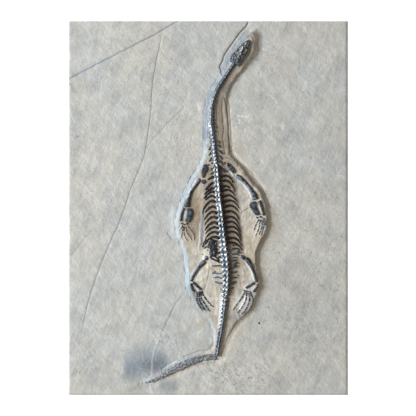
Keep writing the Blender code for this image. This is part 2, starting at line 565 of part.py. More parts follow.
def make_ribs(side, ribs, collection, material):
    """One side's trunk ribs, numbered from the neck, each thick at its root and thin at its tip."""
    rib_step = 2.5
    for number, rib in enumerate(ribs, 1):
        path = smooth_path(rib, rib_step)
        widths = np.linspace(RIB_ROOT_WIDTH, RIB_TIP_WIDTH, len(path))
        heights = np.linspace(RIB_HEIGHT, RIB_HEIGHT * 0.7, len(path))
        stations = [(x, y, width, height) for (x, y), width, height in zip(path, widths, heights)]
        loft(f"{side}_rib_{number:02d}", even_stations(stations), SLIM_SECTION, collection, material)


def main():
    clear_scene()
    parts = make_collection("Keichousaurus fossil")
    spare = make_collection("Joined and cut shapes")
    stone = make_material("limestone", STONE_COLOUR, 0.85)
    bone = make_material("fossil_bone", BONE_COLOUR, 0.45)

    make_slab(parts, stone)
    make_skull(parts, spare, bone)
    neck = make_vertebrae("neck_vertebrae", NECK_LINE, NECK_PITCH, NECK_HEIGHT, parts, bone)
    combine(neck, make_spurs("neck_ribs", NECK_RIBS, spare, bone), "UNION")
    back = make_vertebrae("back_vertebrae", BACK_LINE, BACK_PITCH, BACK_HEIGHT, parts, bone)
    combine(back, make_spurs("hip_ribs", HIP_RIBS, spare, bone), "UNION")
    make_vertebrae("tail_vertebrae", TAIL_LINE, TAIL_PITCH, TAIL_HEIGHT, parts, bone)
    make_vertebrae("tail_end", TAIL_END_LINE, TAIL_END_PITCH, TAIL_END_HEIGHT, parts, bone)
    make_ribs("left", LEFT_RIBS, parts, bone)
    make_ribs("right", RIGHT_RIBS, parts, bone)
    make_gut_mass(parts, bone)
    for name, stations in LONG_BONES.items():
        loft(name, even_stations(stations), LIMB_SECTION, parts, bone)
    for name, (outline, thickness) in FLAT_BONES.items():
        make_flat_bone(name, outline, thickness, parts, bone)
    for name, (pad, digits) in LIMB_ENDS.items():
        make_limb_end(name, pad, digits, parts, spare, bone)


main()
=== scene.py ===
"""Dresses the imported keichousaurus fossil: a limestone slab with a small marine reptile's skeleton.

Shapes are worked out in millimetres in the frame's axes, with +X to the right, +Y to the head and +Z up,
and become metres when a mesh is made. Outlines and lines on the slab are measured from its centre.
"""

import logging
import math
from dataclasses import dataclass, field
from enum import Enum

import bpy
import numpy as np
from mathutils import Matrix, Vector, noise
from mathutils.bvhtree import BVHTree
from mathutils.geometry import delaunay_2d_cdt


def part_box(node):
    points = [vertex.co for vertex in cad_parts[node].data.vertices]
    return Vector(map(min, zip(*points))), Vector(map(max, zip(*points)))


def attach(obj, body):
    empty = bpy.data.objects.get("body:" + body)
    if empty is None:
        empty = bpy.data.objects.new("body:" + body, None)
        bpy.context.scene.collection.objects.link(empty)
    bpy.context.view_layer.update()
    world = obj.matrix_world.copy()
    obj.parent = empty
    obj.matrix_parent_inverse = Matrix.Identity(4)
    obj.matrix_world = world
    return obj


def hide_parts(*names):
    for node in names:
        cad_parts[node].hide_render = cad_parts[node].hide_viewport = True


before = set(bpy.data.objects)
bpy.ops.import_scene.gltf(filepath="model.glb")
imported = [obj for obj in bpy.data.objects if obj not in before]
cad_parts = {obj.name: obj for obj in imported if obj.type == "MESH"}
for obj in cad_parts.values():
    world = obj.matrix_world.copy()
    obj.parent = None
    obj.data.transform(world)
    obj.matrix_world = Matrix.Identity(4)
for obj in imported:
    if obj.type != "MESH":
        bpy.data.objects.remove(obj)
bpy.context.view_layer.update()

LOG = logging.getLogger("fossil")
MM = 0.001
# How far the bones rise straight out of the stone before they round over, in millimetres
LIFT = 0.35
BODY = "root"

Array = np.ndarray
Point = tuple[float, float]
Line = tuple[Point, ...]
Colour = tuple[float, float, float, float]
Faces = list[tuple[int, ...]]


class Slot(Enum):
    """The material slots."""

    STONE = "limestone"
    BONE = "fossil_bone"


class Tint(Enum):
    """What a mark or a stretch of the stone is coloured with; each is one attribute of the stone's mesh."""

    DARK = "dark"
    PALE = "pale"
    SLATE = "slate"
    BROWN = "brown"
    # Painted highlight where the stone faces the window
    PAINTED_HIGHLIGHT = "painted_highlight"
    TAN = "tan"
    CREAM = "cream"
    TOOLED = "tooled"


def smooth_path(points: Line | Array, step: float) -> Array:
    """Points on a smooth curve through the given ones.

    Args:
        points: Rows of x and y, and of any further values that change along the path.
        step: About how far apart the new points lie.

    Returns:
        Rows like the given ones, about one step apart.
    """
    given = np.array(points, float)
    chord = np.concatenate([[0], np.cumsum(np.linalg.norm(np.diff(given[:, :2], axis=0), axis=1))])
    at = np.linspace(0, chord[-1], max(2, round(chord[-1] / step) + 1))
    if len(given) < 3:
        return given[0] + (given[1] - given[0]) * (at / chord[-1])[:, None]
    slope = np.gradient(given, chord, axis=0)
    piece = np.clip(np.searchsorted(chord, at, side="right") - 1, 0, len(chord) - 2)
    span = (chord[piece + 1] - chord[piece])[:, None]
    t = (at - chord[piece])[:, None] / span
    return (
        (2 * t**3 - 3 * t**2 + 1) * given[piece]
        + (t**3 - 2 * t**2 + t) * span * slope[piece]
        + (3 * t**2 - 2 * t**3) * given[piece + 1]
        + (t**3 - t**2) * span * slope[piece + 1]
    )


def sideways(path: Array) -> Array:
    """Directions to the right of a path.

    Args:
        path: Rows of x and y.

    Returns:
        One unit vector for each row.
    """
    run = np.gradient(path[:, :2], axis=0)
    run /= np.linalg.norm(run, axis=1)[:, None]
    return np.stack([run[:, 1], -run[:, 0]], axis=1)


def ease(value: Array, low: float, high: float) -> Array:
    """Rises smoothly from 0 to 1 as the value goes from low to high.

    Args:
        value: The values to read.
        low: Where the rise starts.
        high: Where it ends; below low the curve falls.

    Returns:
        Shares from 0 to 1.
    """
    t = np.clip((value - low) / (high - low), 0, 1)
    return t * t * (3 - 2 * t)


def bell(distance: Array, width: float) -> Array:
    """A bump that is 1 at no distance and fades out over about twice its width."""
    return np.exp(-((distance / width) ** 2))


def read_off(curve: Line, at: Array) -> Array:
    """A curve's values at some places.

    Args:
        curve: Points (place, value) in either order. Beyond its ends the curve is level.
        at: The places.

    Returns:
        The values.
    """
    return np.interp(at, *zip(*sorted(curve)))


def rough(points: Array, size: float | tuple[float, float, float], seed: float) -> Array:
    """Smooth noise at points.

    Args:
        points: Rows of x, y and maybe z.
        size: The width of a lump, or one for each axis.
        seed: Shifts the pattern, so that two calls differ.

    Returns:
        One number from about -1 to 1 for each row.
    """
    spots = np.zeros((len(points), 3))
    spots[:, : points.shape[1]] = points
    spots = spots / np.array(size) + seed
    return np.array([noise.noise(spot) for spot in spots])


def drift(points: Array, size: float, seed: float) -> Array:
    """Noise as small steps in x and y, as rough() makes it."""
    return np.stack([rough(points, size, seed + i) for i in range(2)], axis=1)


def line_distance(points: Array, line: Array, reach: float) -> tuple[Array, Array]:
    """How far points lie from a line of short pieces.

    Args:
        points: Rows of x and y.
        line: The line's corners as rows of x and y.
        reach: Points further away than this are left at infinity.

    Returns:
        The distances, and how far along the line the nearest place is, as a share.
    """
    nearest = np.full(len(points), np.inf)
    along = np.zeros(len(points))
    for i, (start, end) in enumerate(zip(line, line[1:])):
        low = np.minimum(start, end) - reach
        high = np.maximum(start, end) + reach
        close = np.flatnonzero(((points > low) & (points < high)).all(axis=1))
        edge = end - start
        offset = points[close] - start
        share = np.clip(offset @ edge / (edge @ edge), 0, 1)
        distance = np.linalg.norm(offset - share[:, None] * edge, axis=1)
        better = distance < nearest[close]
        nearest[close[better]] = distance[better]
        along[close[better]] = (i + share[better]) / (len(line) - 1)
    return nearest, along


def inside(points: Array, outline: Array) -> Array:
    """Which points lie within a closed outline.

    Args:
        points: Rows of x and y.
        outline: The outline's corners as rows of x and y.

    Returns:
        True for each point inside.
    """
    result = np.zeros(len(points), bool)
    x, y = points.T
    for (ax, ay), (bx, by) in zip(outline, np.roll(outline, -1, axis=0)):
        if ay != by:
            crosses = (ay > y) != (by > y)
            result ^= crosses & (x < ax + (y - ay) / (by - ay) * (bx - ax))
    return result


def tiles(points: Array, count: int, rings: int) -> tuple[Array, Array, Faces]:
    """Joins flat points into triangles, with the closed rings that they start with kept as edges.

    Args:
        points: Rows of x and y.
        count: How many points each ring has.
        rings: How many rings there are.

    Returns:
        The points in a new order, the number that each had before, and the triangles.
    """
    kept = [(ring * count + i, ring * count + (i + 1) % count) for ring in range(rings) for i in range(count)]
    placed, _, faces, sources, _, _ = delaunay_2d_cdt([Vector(point) for point in points], kept, [], 0, 1e-6)
    return np.array(placed), np.array([source[0] for source in sources]), faces


def band(upper: Array, lower: Array) -> Faces:
    """Four-sided faces between two closed rings with as many points, given by their numbers."""
    return list(zip(upper.tolist(), lower.tolist(), np.roll(lower, -1).tolist(), np.roll(upper, -1).tolist()))


@dataclass(frozen=True)
class Mark:
    """A crack, scratch, ledge, vein, stain or stroke of painted shade or highlight on the stone, drawn along a
    line.

    It fades out over about its width on each side. A negative depth stands proud of the stone.
    """

    line: Line
    width: float
    depth: float
    tint: Tint
    strength: float
    wander: float = 0.25
    fade: float = 0.06

    def path(self) -> Array:
        """The line as it runs in the stone, with small natural bends."""
        path = smooth_path(self.line, 1.2)
        return path + sideways(path) * (rough(path, 5.0, 3.1) * self.wander)[:, None]

    def share(self, points: Array) -> Array:
        """How strongly the mark shows at points.

        Args:
            points: Rows of x and y.

        Returns:
            Shares from 0 to 1.
        """
        distance, along = line_distance(points, self.path(), self.width * 2.6)
        ends = ease(along, 0, self.fade) * ease(along, 1, 1 - self.fade) if self.fade else 1.0
        return np.where(np.isinf(distance), 0, bell(np.minimum(distance, 1e3), self.width)) * ends


def marks(tint: Tint, *rows: tuple[Line | float, ...]) -> tuple[Mark, ...]:
    """Marks of one tint, from rows of line, width, depth and strength, and maybe wander and fade."""
    return tuple(Mark(line, width, depth, tint, *look) for line, width, depth, *look in rows)


# The middle of the scraped flank round the skeleton: down the left side, round the tail, up the right side
BED_OUTLINE: Line = (
    (30.5, 123.6), (27, 121.6), (24.2, 118.9), (21.4, 114.9), (18, 110.4), (14.9, 106.4), (12.6, 102.4),
    (10.9, 98.5), (9.3, 94.2), (6.9, 89.6), (4.2, 85.1), (2, 80.7), (0.6, 76.8), (-0.4, 73), (-1.4, 68),
    (-1.8, 60), (-2, 54), (-2, 48), (-1.8, 42), (-2.3, 37), (-4, 32.5), (-7, 27), (-9.8, 22.5), (-12.8, 17),
    (-15.4, 11.5), (-17.4, 6.5), (-19.3, 1.5), (-20.9, -3.5), (-21.9, -9), (-21.9, -14), (-21.2, -18),
    (-19.8, -22), (-18, -26), (-16.6, -30), (-15.8, -34), (-15.6, -38), (-15, -42), (-14.6, -46), (-15, -50),
    (-14.8, -54), (-13, -58), (-11, -62), (-8.4, -66.6), (-5.4, -71), (-1.8, -75), (1, -78.4), (3.1, -82),
    (4.3, -86), (4.6, -91), (4.4, -96), (2.6, -99.6), (-4, -101.4), (-12, -103.4), (-18, -105.8),
    (-24, -108.8), (-30, -112.2), (-36, -115.9), (-41, -118.4), (-46, -121), (-46.5, -123.4), (-41, -123.6),
    (-35, -121.8), (-28, -118.4), (-22, -115.9), (-17, -113.4), (-12, -111.2), (-6, -109.4), (0, -108.6),
    (6.5, -107.6), (9.6, -104.5), (11.2, -100), (12.6, -95), (14.2, -91), (16.4, -87), (18.8, -83.3),
    (21.8, -79.8), (25.5, -76.4), (29.4, -72.3), (32.4, -67.6), (34.6, -62.8), (36.2, -57.8), (36.8, -53),
    (36.4, -48), (35.6, -43), (35, -38), (35, -33), (35.8, -28.5), (38, -24), (40.6, -19.4), (42, -15),
    (42.6, -10), (42.4, -5), (41.9, 0), (40.7, 5), (38.8, 9.6), (36, 14.2), (33, 18.2), (29.8, 22.2),
    (26.6, 26.2), (23.2, 30.2), (19.6, 33.8), (17, 37), (15.4, 41), (15, 47), (14.6, 54), (14, 62),
    (13.2, 70), (13, 76), (14, 81), (16.5, 86.5), (20, 91.5), (24, 96.4), (27.4, 101), (31.4, 105.6),
    (33.2, 110), (33.5, 115.3), (33.2, 119.6), (32.2, 122.6),
)

# The middle of the skeleton from the snout to the tail's bend, as (x, y)
MIDLINE: Line = (
    (29, 117.5), (17.7, 100.2), (12.8, 93), (7.3, 85), (3.3, 75), (2, 65), (2.5, 55), (3.5, 45), (4.9, 31.3),
    (6.1, 18), (7.6, 2), (9, -10), (10.5, -26), (12.1, -40), (12.4, -48), (11.2, -66), (8.8, -85),
    (5.9, -103),
)

CRACKS: tuple[Mark, ...] = (
    Mark(((29.2, 132), (27.2, 128), (24, 124.3), (20, 119.4), (16, 113.8), (12, 107.8), (10.8, 105.5),
         (10.6, 104), (8.5, 100), (8, 98.8), (8.7, 97), (9, 95), (9.6, 92.8)), 0.4, 0.6, Tint.DARK, 1, 0.2, 0),
    Mark(((-99, 89.4), (-67.8, 105.8), (-31.7, 124.6), (-20, 131.6)), 0.45, 0.25, Tint.SLATE, 1, 0.3, 0),
    *marks(
        Tint.DARK,
        (((-31.7, 132), (-32.5, 121), (-35.9, 104), (-38.9, 85.7), (-40, 67.2), (-41.7, 53.7), (-44.6, 36.9),
         (-47.6, 28.5), (-54, 13.4), (-57.7, 1.7), (-63.6, -13.4), (-71.1, -30.2), (-79.5, -52.1),
         (-83.7, -65.5), (-87.9, -85.7), (-89.6, -94)), 0.35, 0.2, 0.5, 0.3, 0.1),
        (((-43.7, 41.6), (-33.1, 54), (-15.4, 71.6)), 0.35, 0.12, 0.25),
        (((-80.7, -14.8), (-96.5, -34.2)), 0.35, 0.1, 0.22),
        (((-13.5, -55.5), (-17, -60), (-22, -66), (-26, -74), (-30.5, -83.5), (-35, -93)), 0.4, 0.2, 0.38,
         0.25, 0.3),
    ),
    Mark(((-34, -91), (-37.5, -99), (-39, -108), (-39.5, -117), (-41, -121), (-40.5, -124), (-38.5, -132)),
         0.45, -0.12, Tint.PALE, 0.5, 0.3, 0.04),
    *marks(
        Tint.DARK,
        (((1.3, -39.5), (0.5, -46), (-0.5, -50.5), (-1.5, -54), (-3, -58)), 0.4, 0.3, 0.5, 0.1),
        (((22.6, -4.2), (26, -1.5), (29, 0.3)), 0.4, 0.25, 0.6, 0.05),
    ),
    Mark(((24, 3.8), (26, 5.5), (29, 7.5)), 0.45, 0.15, Tint.SLATE, 0.4, 0.05),
)

# Steps and lines in the scraped stone. The brown lines on the steps and the dark and slate lines right of the
# skull are painted shade
LEDGES: tuple[Mark, ...] = (
    *marks(
        Tint.BROWN,
        (((6.6, 76), (6.2, 68), (6.3, 60), (6.6, 54)), 0.45, 0.25, 0.8, 0.15),
        (((10.2, 78), (9.9, 70), (10.3, 62), (11, 55), (10.6, 50), (11.4, 42), (12.4, 36)), 0.45, 0.3, 0.7,
         0.2),
        (((11, 79), (12, 75), (13.3, 68), (14, 60), (14.5, 50), (15, 41), (14.5, 36)), 0.4, 0.4, 0.9, 0.15),
        (((13.5, 77), (15, 72), (15.5, 65), (16, 58), (16.4, 50), (16.6, 46.5), (18.6, 45.2), (20, 44.5),
         (17.2, 43.6), (16.5, 40), (17.5, 37)), 0.3, 0.3, 0.7, 0.1),
        (((13, 33), (17, 32), (20, 29.5), (23, 26.5), (26, 23), (29.5, 18.8), (33, 14)), 0.45, 0.25, 0.7,
         0.15),
        (((18, 34.6), (20.5, 33.2), (24, 30.4), (28, 27.4), (31, 24.5), (33, 20.8), (36, 17), (38.2, 14.2),
         (39.3, 11), (40.8, 8.5), (42.4, 4), (43.4, 0)), 0.3, 0.25, 0.65, 0.15),
        (((33.9, 122.5), (35.2, 119.5), (35, 115.3), (35.4, 110), (35, 107.9), (32.8, 105.6), (29.7, 103.5)),
         0.4, 0.2, 0.6, 0.1),
        (((13.8, -80), (13, -86), (11.6, -92), (10.6, -98), (8.8, -103)), 0.4, 0.25, 0.8, 0.15),
        (((20.5, -79.2), (18.3, -83.5), (16, -87.2), (13.6, -91.4), (12, -96), (10.6, -100.5), (8.6, -104.4)),
         0.35, 0.25, 0.7, 0.1),
    ),
    *marks(
        Tint.DARK,
        (((16.2, 61), (17.2, 62.4), (18.4, 63)), 0.4, 0.15, 0.35),
        (((12, 35.5), (14, 35.2), (16, 34), (18, 32.8)), 0.4, 0.35, 0.7, 0.1),
        (((27.6, 119.9), (29.4, 120.3), (31.2, 119.3), (31.6, 117), (30.6, 114.2), (29.4, 110), (28.2, 106)),
         0.6, 0.3, 0.35, 0.1),
        (((-7.5, 28), (-9.5, 25.3), (-12.5, 20.5), (-14.8, 14.5), (-16, 11), (-17.5, 7.5), (-19, 4.3)),
         0.3, 0.3, 0.45, 0.1),
        (((-18, -104.5), (-12, -102), (-6, -100), (0, -99), (3, -96), (4, -93)), 0.35, 0.2, 0.45),
        (((-2.6, -38.2), (-1.5, -36.8), (0.4, -36.2)), 0.4, 0.15, 0.5, 0),
    ),
    *marks(
        Tint.SLATE,
        (((-3.8, 0), (-4, -6), (-4.2, -13), (-4.4, -20), (-4.7, -24), (-5.3, -26.8)), 0.7, -0.25, 1.7, 0.3),
        (((-2.6, 18.5), (-3.1, 13), (-3.4, 8)), 0.5, -0.15, 0.8, 0.3),
        (((13.2, 100.5), (15.3, 104.4), (18, 108.6), (20.6, 112.2), (23.4, 115.4), (26.4, 118)), 0.8, 0.1,
         0.4, 0.3),
        (((29.6, 117), (29.9, 113), (28.8, 108.6), (27, 104.4), (24.6, 100)), 0.9, 0.1, 0.35, 0.2),
    ),
    *marks(
        Tint.PALE,
        (((-5.4, -8), (-5.6, -16), (-5.9, -22), (-6.2, -28), (-5.6, -33)), 0.6, -0.2, 0.55, 0.3, 0.2),
        (((9, -59), (8.9, -64), (8.6, -70), (8, -77), (7.1, -83.6)), 0.5, -0.3, 0.75, 0.6),
        (((15.2, 26), (16.6, 24.2), (18.2, 22.2)), 0.5, -0.3, 0.9, 0.1),
        (((20.6, 20.4), (24, 17.2), (27, 13.2), (29, 9.6), (29.8, 7)), 0.4, -0.1, 0.8, 0.1),
        (((25.8, -37), (28, -40.2), (30.2, -43.8), (31.4, -48), (32.4, -51.4)), 0.4, -0.1, 0.8, 0.1),
        (((24.8, -57.4), (22, -62.4), (19, -66.6), (16.4, -71)), 0.5, 0, 0.45, 0.2),
        (((-16, 0), (-16, -4), (-16.8, -8)), 0.6, 0, 0.7, 0.1),
    ),
    Mark(((34.6, 2.4), (36, -1), (37.2, -4)), 0.8, 0, Tint.CREAM, 0.9, 0.1),
)

SCRATCHES: tuple[Mark, ...] = (
    *marks(
        Tint.PALE,
        (((20, 64.6), (24, 64.2), (29, 63.6)), 0.5, -0.05, 0.75),
        (((22.8, 64), (22.3, 61), (21.7, 58)), 0.4, -0.05, 0.6),
        (((26.3, 56.4), (26, 52)), 0.4, -0.05, 0.6),
        (((43.2, 80), (46, 76.5), (49, 73)), 0.6, -0.05, 0.6),
        (((70.2, 44.6), (72, 42.2)), 0.5, -0.05, 0.7),
        (((40.4, 96.6), (41.8, 95.2)), 0.6, -0.05, 0.6),
        (((68.6, 90), (68.8, 85.5)), 0.5, -0.05, 0.45),
        (((-19.5, 64.2), (-15.5, 61.6)), 0.4, -0.05, 0.45),
    ),
    *marks(
        Tint.DARK,
        (((-29.2, -16.6), (-27.6, -19), (-25, -22.6)), 0.6, 0.12, 0.5),
        (((36, -80.6), (36.2, -80.7)), 0.45, 1.6, 3.5, 0, 0),
        (((-91.2, 50), (-90.4, 50.1)), 0.7, 0.1, 0.4, 0, 0),
        (((-95.8, 88), (-95, 84.5), (-94.4, 80)), 1, 0.1, 0.3),
    ),
    Mark(((-78, -82.6), (-76.6, -83)), 0.4, -0.05, Tint.PALE, 0.6),
    Mark(((47.4, 105.6), (48.6, 104.4)), 0.8, 0.1, Tint.DARK, 0.3),
    *marks(
        Tint.PALE,
        (((38.4, 112.6), (39.4, 110.6)), 0.8, -0.05, 0.5),
        (((-32, -113), (-27, -110), (-21, -107)), 0.4, -0.15, 0.7),
        (((-42.5, -119), (-41.4, -121), (-40, -123.4), (-37.5, -119.4), (-36.6, -121.8)), 0.6, -0.15, 0.8,
         0.4),
    ),
    Mark(((6.5, -108.2), (0, -108.9), (-6, -109.6), (-12, -111.5), (-17, -113.6), (-22, -116.2),
         (-28, -118.6)),
         0.5, 0.1, Tint.TAN, 0.8),
)

SMUDGES: tuple[Mark, ...] = (
    *marks(
        Tint.SLATE,
        (((-62, -110), (-50, -110), (-40, -109), (-31, -108), (-24, -106)), 7.5, 0, 0.5, 1.5, 0.15),
        (((-46, -111), (-38, -110), (-29, -107.5)), 5, 0, 0.4, 1, 0.2),
        (((-8.4, -58), (-6, -63), (-3, -68.4), (0.4, -72.6)), 1.4, 0, 0.9, 0.5),
        (((31.4, -57.6), (30.6, -63), (28.6, -68), (25.4, -72.6), (21, -76)), 1.9, 0, 0.5, 0.6),
        (((38.4, -8), (38.8, -11), (38.5, -15)), 1, 0, 0.75, 0.3),
        (((-18.6, -12.6), (-18.9, -16), (-18.2, -20)), 1, 0, 0.5, 0.3),
        (((-36, -125), (-28, -124), (-20, -128)), 5.5, 0, 0.42, 1, 0.2),
        (((14, -77.4), (18, -76.6), (23, -75.6)), 2, 0, 0.55, 0.3),
        (((-3, 52.4), (-3, 49.6)), 1.6, -0.5, 1.1, 0, 0),
        (((-60, -116), (-50, -114), (-42, -112)), 7, 0, 0.4, 1, 0.2),
        (((-58, -104), (-46, -101), (-32, -99)), 6, 0, 0.32, 1, 0.2),
        (((-34, -113.4), (-26, -109.4), (-18, -106), (-10, -103.2), (-2, -101)), 1.2, 0, 0.4, 0.5),
    ),
    *marks(
        Tint.DARK,
        (((-47, -114), (-36, -111), (-27, -107)), 7, 0, 0.3, 1, 0.2),
        (((-12, -54.6), (-10, -59.6), (-7.6, -64.6), (-4.6, -69.6), (-2.4, -72)), 1.7, 0, 0.6, 0.6),
        (((-36, -125), (-28, -124), (-20, -128)), 5, 0, 0.14, 1, 0.2),
        (((-60, -116), (-50, -122), (-44, -128)), 4.5, 0, 0.14, 1),
        (((38, 92), (44, 84), (50, 74), (62, 60)), 5.5, 0.18, 0.07, 1.5),
        (((22, -57), (22.3, -58.4)), 2.4, 0, 0.2, 0, 0),
        (((-90, -112), (-80, -118), (-70, -126)), 7, 0, 0.12, 2),
        (((52, -30), (62, -70), (72, -110)), 17, 0, 0.1, 1, 0.2),
        (((9.6, 96), (12, 102.5), (16, 108.6), (21, 115.6), (27, 123.4)), 1.5, 0, 0.16, 0.4),
        (((-94, 100), (-93, 60), (-95, 20)), 4, 0, 0.1, 2),
    ),
    *marks(
        Tint.BROWN,
        (((-46, -122.6), (-52, -126), (-56, -130)), 2, 0, 0.4, 1, 0.2),
        (((17, -32), (17.2, -44), (16.8, -56)), 2.2, 0, 0.5, 0.6, 0.2),
        (((2.2, -42), (3.4, -43.6)), 1.3, 0, 0.8, 0.2, 0),
        (((-14.6, -14), (-12, -18), (-11, -22)), 2.2, 0, 0.4, 0.6, 0.2),
        # Painted shade on the slope right of the skull, which faces away from the window
        (((31.8, 121.5), (32.4, 116), (31.7, 110.5), (29.2, 105), (25.6, 100)), 2, 0, 0.42, 0.4, 0.2),
        (((27.6, -21), (29.4, -27), (30, -33), (28.6, -37)), 2.6, 0, 0.4, 0.6, 0.2),
    ),
    *marks(
        Tint.PALE,
        (((26.6, -60), (25, -65.6), (21.6, -71)), 1.2, 0, 0.7, 0.4),
        (((39.8, -8), (40, -13), (39, -18)), 0.6, 0, 0.7, 0.3),
        (((34, 104), (40, 92), (48, 80)), 3, -0.2, 0.16, 1.5),
        (((52, 92), (58, 78), (66, 66), (76, 54)), 4, -0.18, 0.12, 1.5),
        (((-24.6, 2), (-25.4, -10), (-24, -22)), 1.6, 0, 0.4, 0.5),
    ),
    *marks(
        Tint.CREAM,
        (((-4.6, -43), (-5.6, -46), (-7.4, -51)), 1.8, 0, 0.9, 0.5),
        (((-11, -24), (-9.4, -29), (-8, -33)), 2.4, 0, 0.6, 0.5),
        (((5.6, -62), (6, -68), (5, -75)), 1.6, 0, 0.7, 0.5),
        (((19, -58), (21, -63), (22.4, -70)), 2.6, 0, 0.6, 0.8),
        (((19, -75.4), (23, -76), (26, -74.4)), 1.8, 0, 0.7, 0.3, 0.2),
        (((-7, 72.5), (-6, 69.5)), 1.3, 0, 0.8, 0, 0),
        (((-4, 80), (-8, 60), (-12, 40), (-18, 28)), 3, 0, 0.16, 1.5),
        (((-4, -29), (-3, -33), (-3.2, -37.5)), 2.2, 0, 0.9, 0.3),
    ),
    *marks(
        Tint.TAN,
        (((28, -24), (30, -32), (29, -36)), 2.2, 0, 0.9, 0.6, 0.2),
        (((21.5, -36), (23.5, -43), (22.8, -52)), 2.4, 0, 0.5, 0.8),
        (((-1.5, -77.6), (-5, -80), (-6, -86)), 1.8, 0, 0.5, 0.5),
        (((30, -70), (26, -80), (19, -92), (14, -104)), 3.2, 0, 0.35, 1),
        (((39, 8), (32, 24), (22, 38), (18, 48)), 4, 0, 0.28, 1),
        (((45, -2), (44.6, -18), (39, -30), (39, -50), (36, -64)), 2.6, 0, 0.3, 1),
    ),
    *marks(
        Tint.TOOLED,
        (((-6, -112), (10, -116), (26, -120), (50, -112)), 13, 0, 0.9, 1, 0.2),
        (((-50, -84), (-30, -92), (-8, -94)), 9, 0, 0.55, 1, 0.3),
        (((50, -60), (66, -90), (70, -118)), 14, 0, 0.45, 1, 0.3),
        (((40, 40), (60, 60), (70, 100)), 14, 0, 0.35, 1, 0.3),
    ),
    *marks(
        Tint.PAINTED_HIGHLIGHT,
        (((-43.6, -118), (-42.4, -121), (-40.6, -124)), 0.9, -0.2, 1.2, 0.3),
        (((-12.8, -45), (-13.6, -50), (-13.6, -54), (-11.6, -58.6)), 1.3, 0, 1, 0.4),
    ),
)


class Value:
    """One output of a shader node. Arithmetic on number outputs adds Math nodes."""

    def __init__(self, graph: "Graph", socket: bpy.types.NodeSocket) -> None:
        """Wraps a socket of a graph's node."""
        self.graph = graph
        self.socket = socket

    def _math(self, operation: str, first: "Value | float", second: "Value | float") -> "Value":
        """Adds one Math node and gives its output."""
        return self.graph.node("ShaderNodeMath", {"operation": operation}, {0: first, 1: second})

    def __add__(self, other: "Value | float") -> "Value":
        """This value plus another."""
        return self._math("ADD", self, other)

    def __sub__(self, other: "Value | float") -> "Value":
        """This value less another."""
        return self._math("SUBTRACT", self, other)

    def __rsub__(self, other: float) -> "Value":
        """A number less this value."""
        return self._math("SUBTRACT", other, self)

    def __mul__(self, other: "Value | float") -> "Value":
        """This value times another."""
        return self._math("MULTIPLY", self, other)

    __radd__ = __add__
    __rmul__ = __mul__

    def eased(self, low: float, high: float) -> "Value":
        """Rises smoothly from 0 to 1 as this value goes from low to high.

        Args:
            low: The value at which the rise starts.
            high: The value at which it ends, which may be the smaller one.

        Returns:
            The share, as a value of the same material.
        """
        limits = {"From Min": low, "From Max": high}
        return self.graph.node(
            "ShaderNodeMapRange", {"interpolation_type": "SMOOTHSTEP"}, {"Value": self, **limits}
        )


class Graph:
    """The node tree of one material, with the shader that its values feed."""

    def __init__(self, name: str) -> None:
        """Starts a material with a Principled shader.

        Args:
            name: The material's name.
        """
        self.material = bpy.data.materials.new(name)
        self.material.use_nodes = True
        self.tree = self.material.node_tree
        self.shader = self.tree.nodes["Principled BSDF"]

    def node(
        self,
        kind: str,
        settings: dict[str, object] | None = None,
        inputs: dict[str | int, object] | None = None,
        output: str | int = 0,
    ) -> Value:
        """Adds a node.

        Args:
            kind: The node's type.
            settings: Its properties, set before its sockets.
            inputs: A Value to link or a number, vector or colour to set, for each socket.
            output: The socket that the result wraps.

        Returns:
            The node's output.
        """
        made = self.tree.nodes.new(kind)
        for name, setting in (settings or {}).items():
            setattr(made, name, setting)
        for name, given in (inputs or {}).items():
            self.feed(made.inputs[name], given)
        return Value(self, made.outputs[output])

    def feed(self, socket: bpy.types.NodeSocket, given: object) -> None:
        """Links a Value to a socket, or sets the socket to a constant.

        Args:
            socket: The input that is fed.
            given: The Value, or the constant.
        """
        if isinstance(given, Value):
            self.tree.links.new(given.socket, socket)
        else:
            socket.default_value = given

    def place(self, stretch: tuple[float, float, float] = (1, 1, 1), turn: float = 0.0) -> Value:
        """The place on the object in millimetres, turned about the upright axis and divided by a stretch.

        Args:
            stretch: How many times longer than wide lumps are along each axis.
            turn: The turn in degrees.

        Returns:
            The place as a vector.
        """
        spot = self.node("ShaderNodeTexCoord", output="Object")
        if turn:
            angle = {"Angle": math.radians(turn)}
            spot = self.node("ShaderNodeVectorRotate", {"rotation_type": "Z_AXIS"}, {"Vector": spot, **angle})
        scale = tuple(1 / (MM * part) for part in stretch)
        return self.node("ShaderNodeVectorMath", {"operation": "MULTIPLY"}, {0: spot, 1: scale})

    def cloud(
        self, size: float, detail: float = 2.0, stretch: tuple[float, float, float] = (1, 1, 1),
        turn: float = 0.0
    ) -> Value:
        """Noise from 0 to 1 with lumps of about the given size in millimetres.

        Args:
            size: The size of a lump.
            detail: How many times finer noise is added.
            stretch: As for place.
            turn: As for place.

        Returns:
            The noise.
        """
        sockets = {"Vector": self.place(stretch, turn), "Scale": 1 / size, "Detail": detail}
        return self.node("ShaderNodeTexNoise", inputs=sockets)

    def tint(self, tint: Tint) -> Value:
        """How strongly the mesh is marked with a tint at a place."""
        return self.node("ShaderNodeAttribute", {"attribute_name": tint.value}, output="Fac")

    def mix(self, share: Value | float, first: Value | Colour, second: Value | Colour) -> Value:
        """The first colour turned towards the second by a share."""
        return self.node("ShaderNodeMix", {"data_type": "RGBA"}, {0: share, 6: first, 7: second}, 2)

    def shade(self, colour: Value, factor: Value) -> Value:
        """A colour made darker or lighter by a factor."""
        return self.node("ShaderNodeVectorMath", {"operation": "SCALE"}, {0: colour, "Scale": factor})

    def bump(self, height: Value, depth: float) -> Value:
        """A normal for fine relief of about the given depth in millimetres."""
        return self.node("ShaderNodeBump", inputs={"Height": height, "Distance": depth * MM}, output="Normal")

    def dress(self, **sockets: object) -> bpy.types.Material:
        """Sets the shader's sockets, named with underscores for spaces.

        Args:
            **sockets: A Value or a constant for each socket.

        Returns:
            The finished material.
        """
        for name, given in sockets.items():
            self.feed(self.shader.inputs[name.replace("_", " ")], given)
        return self.material


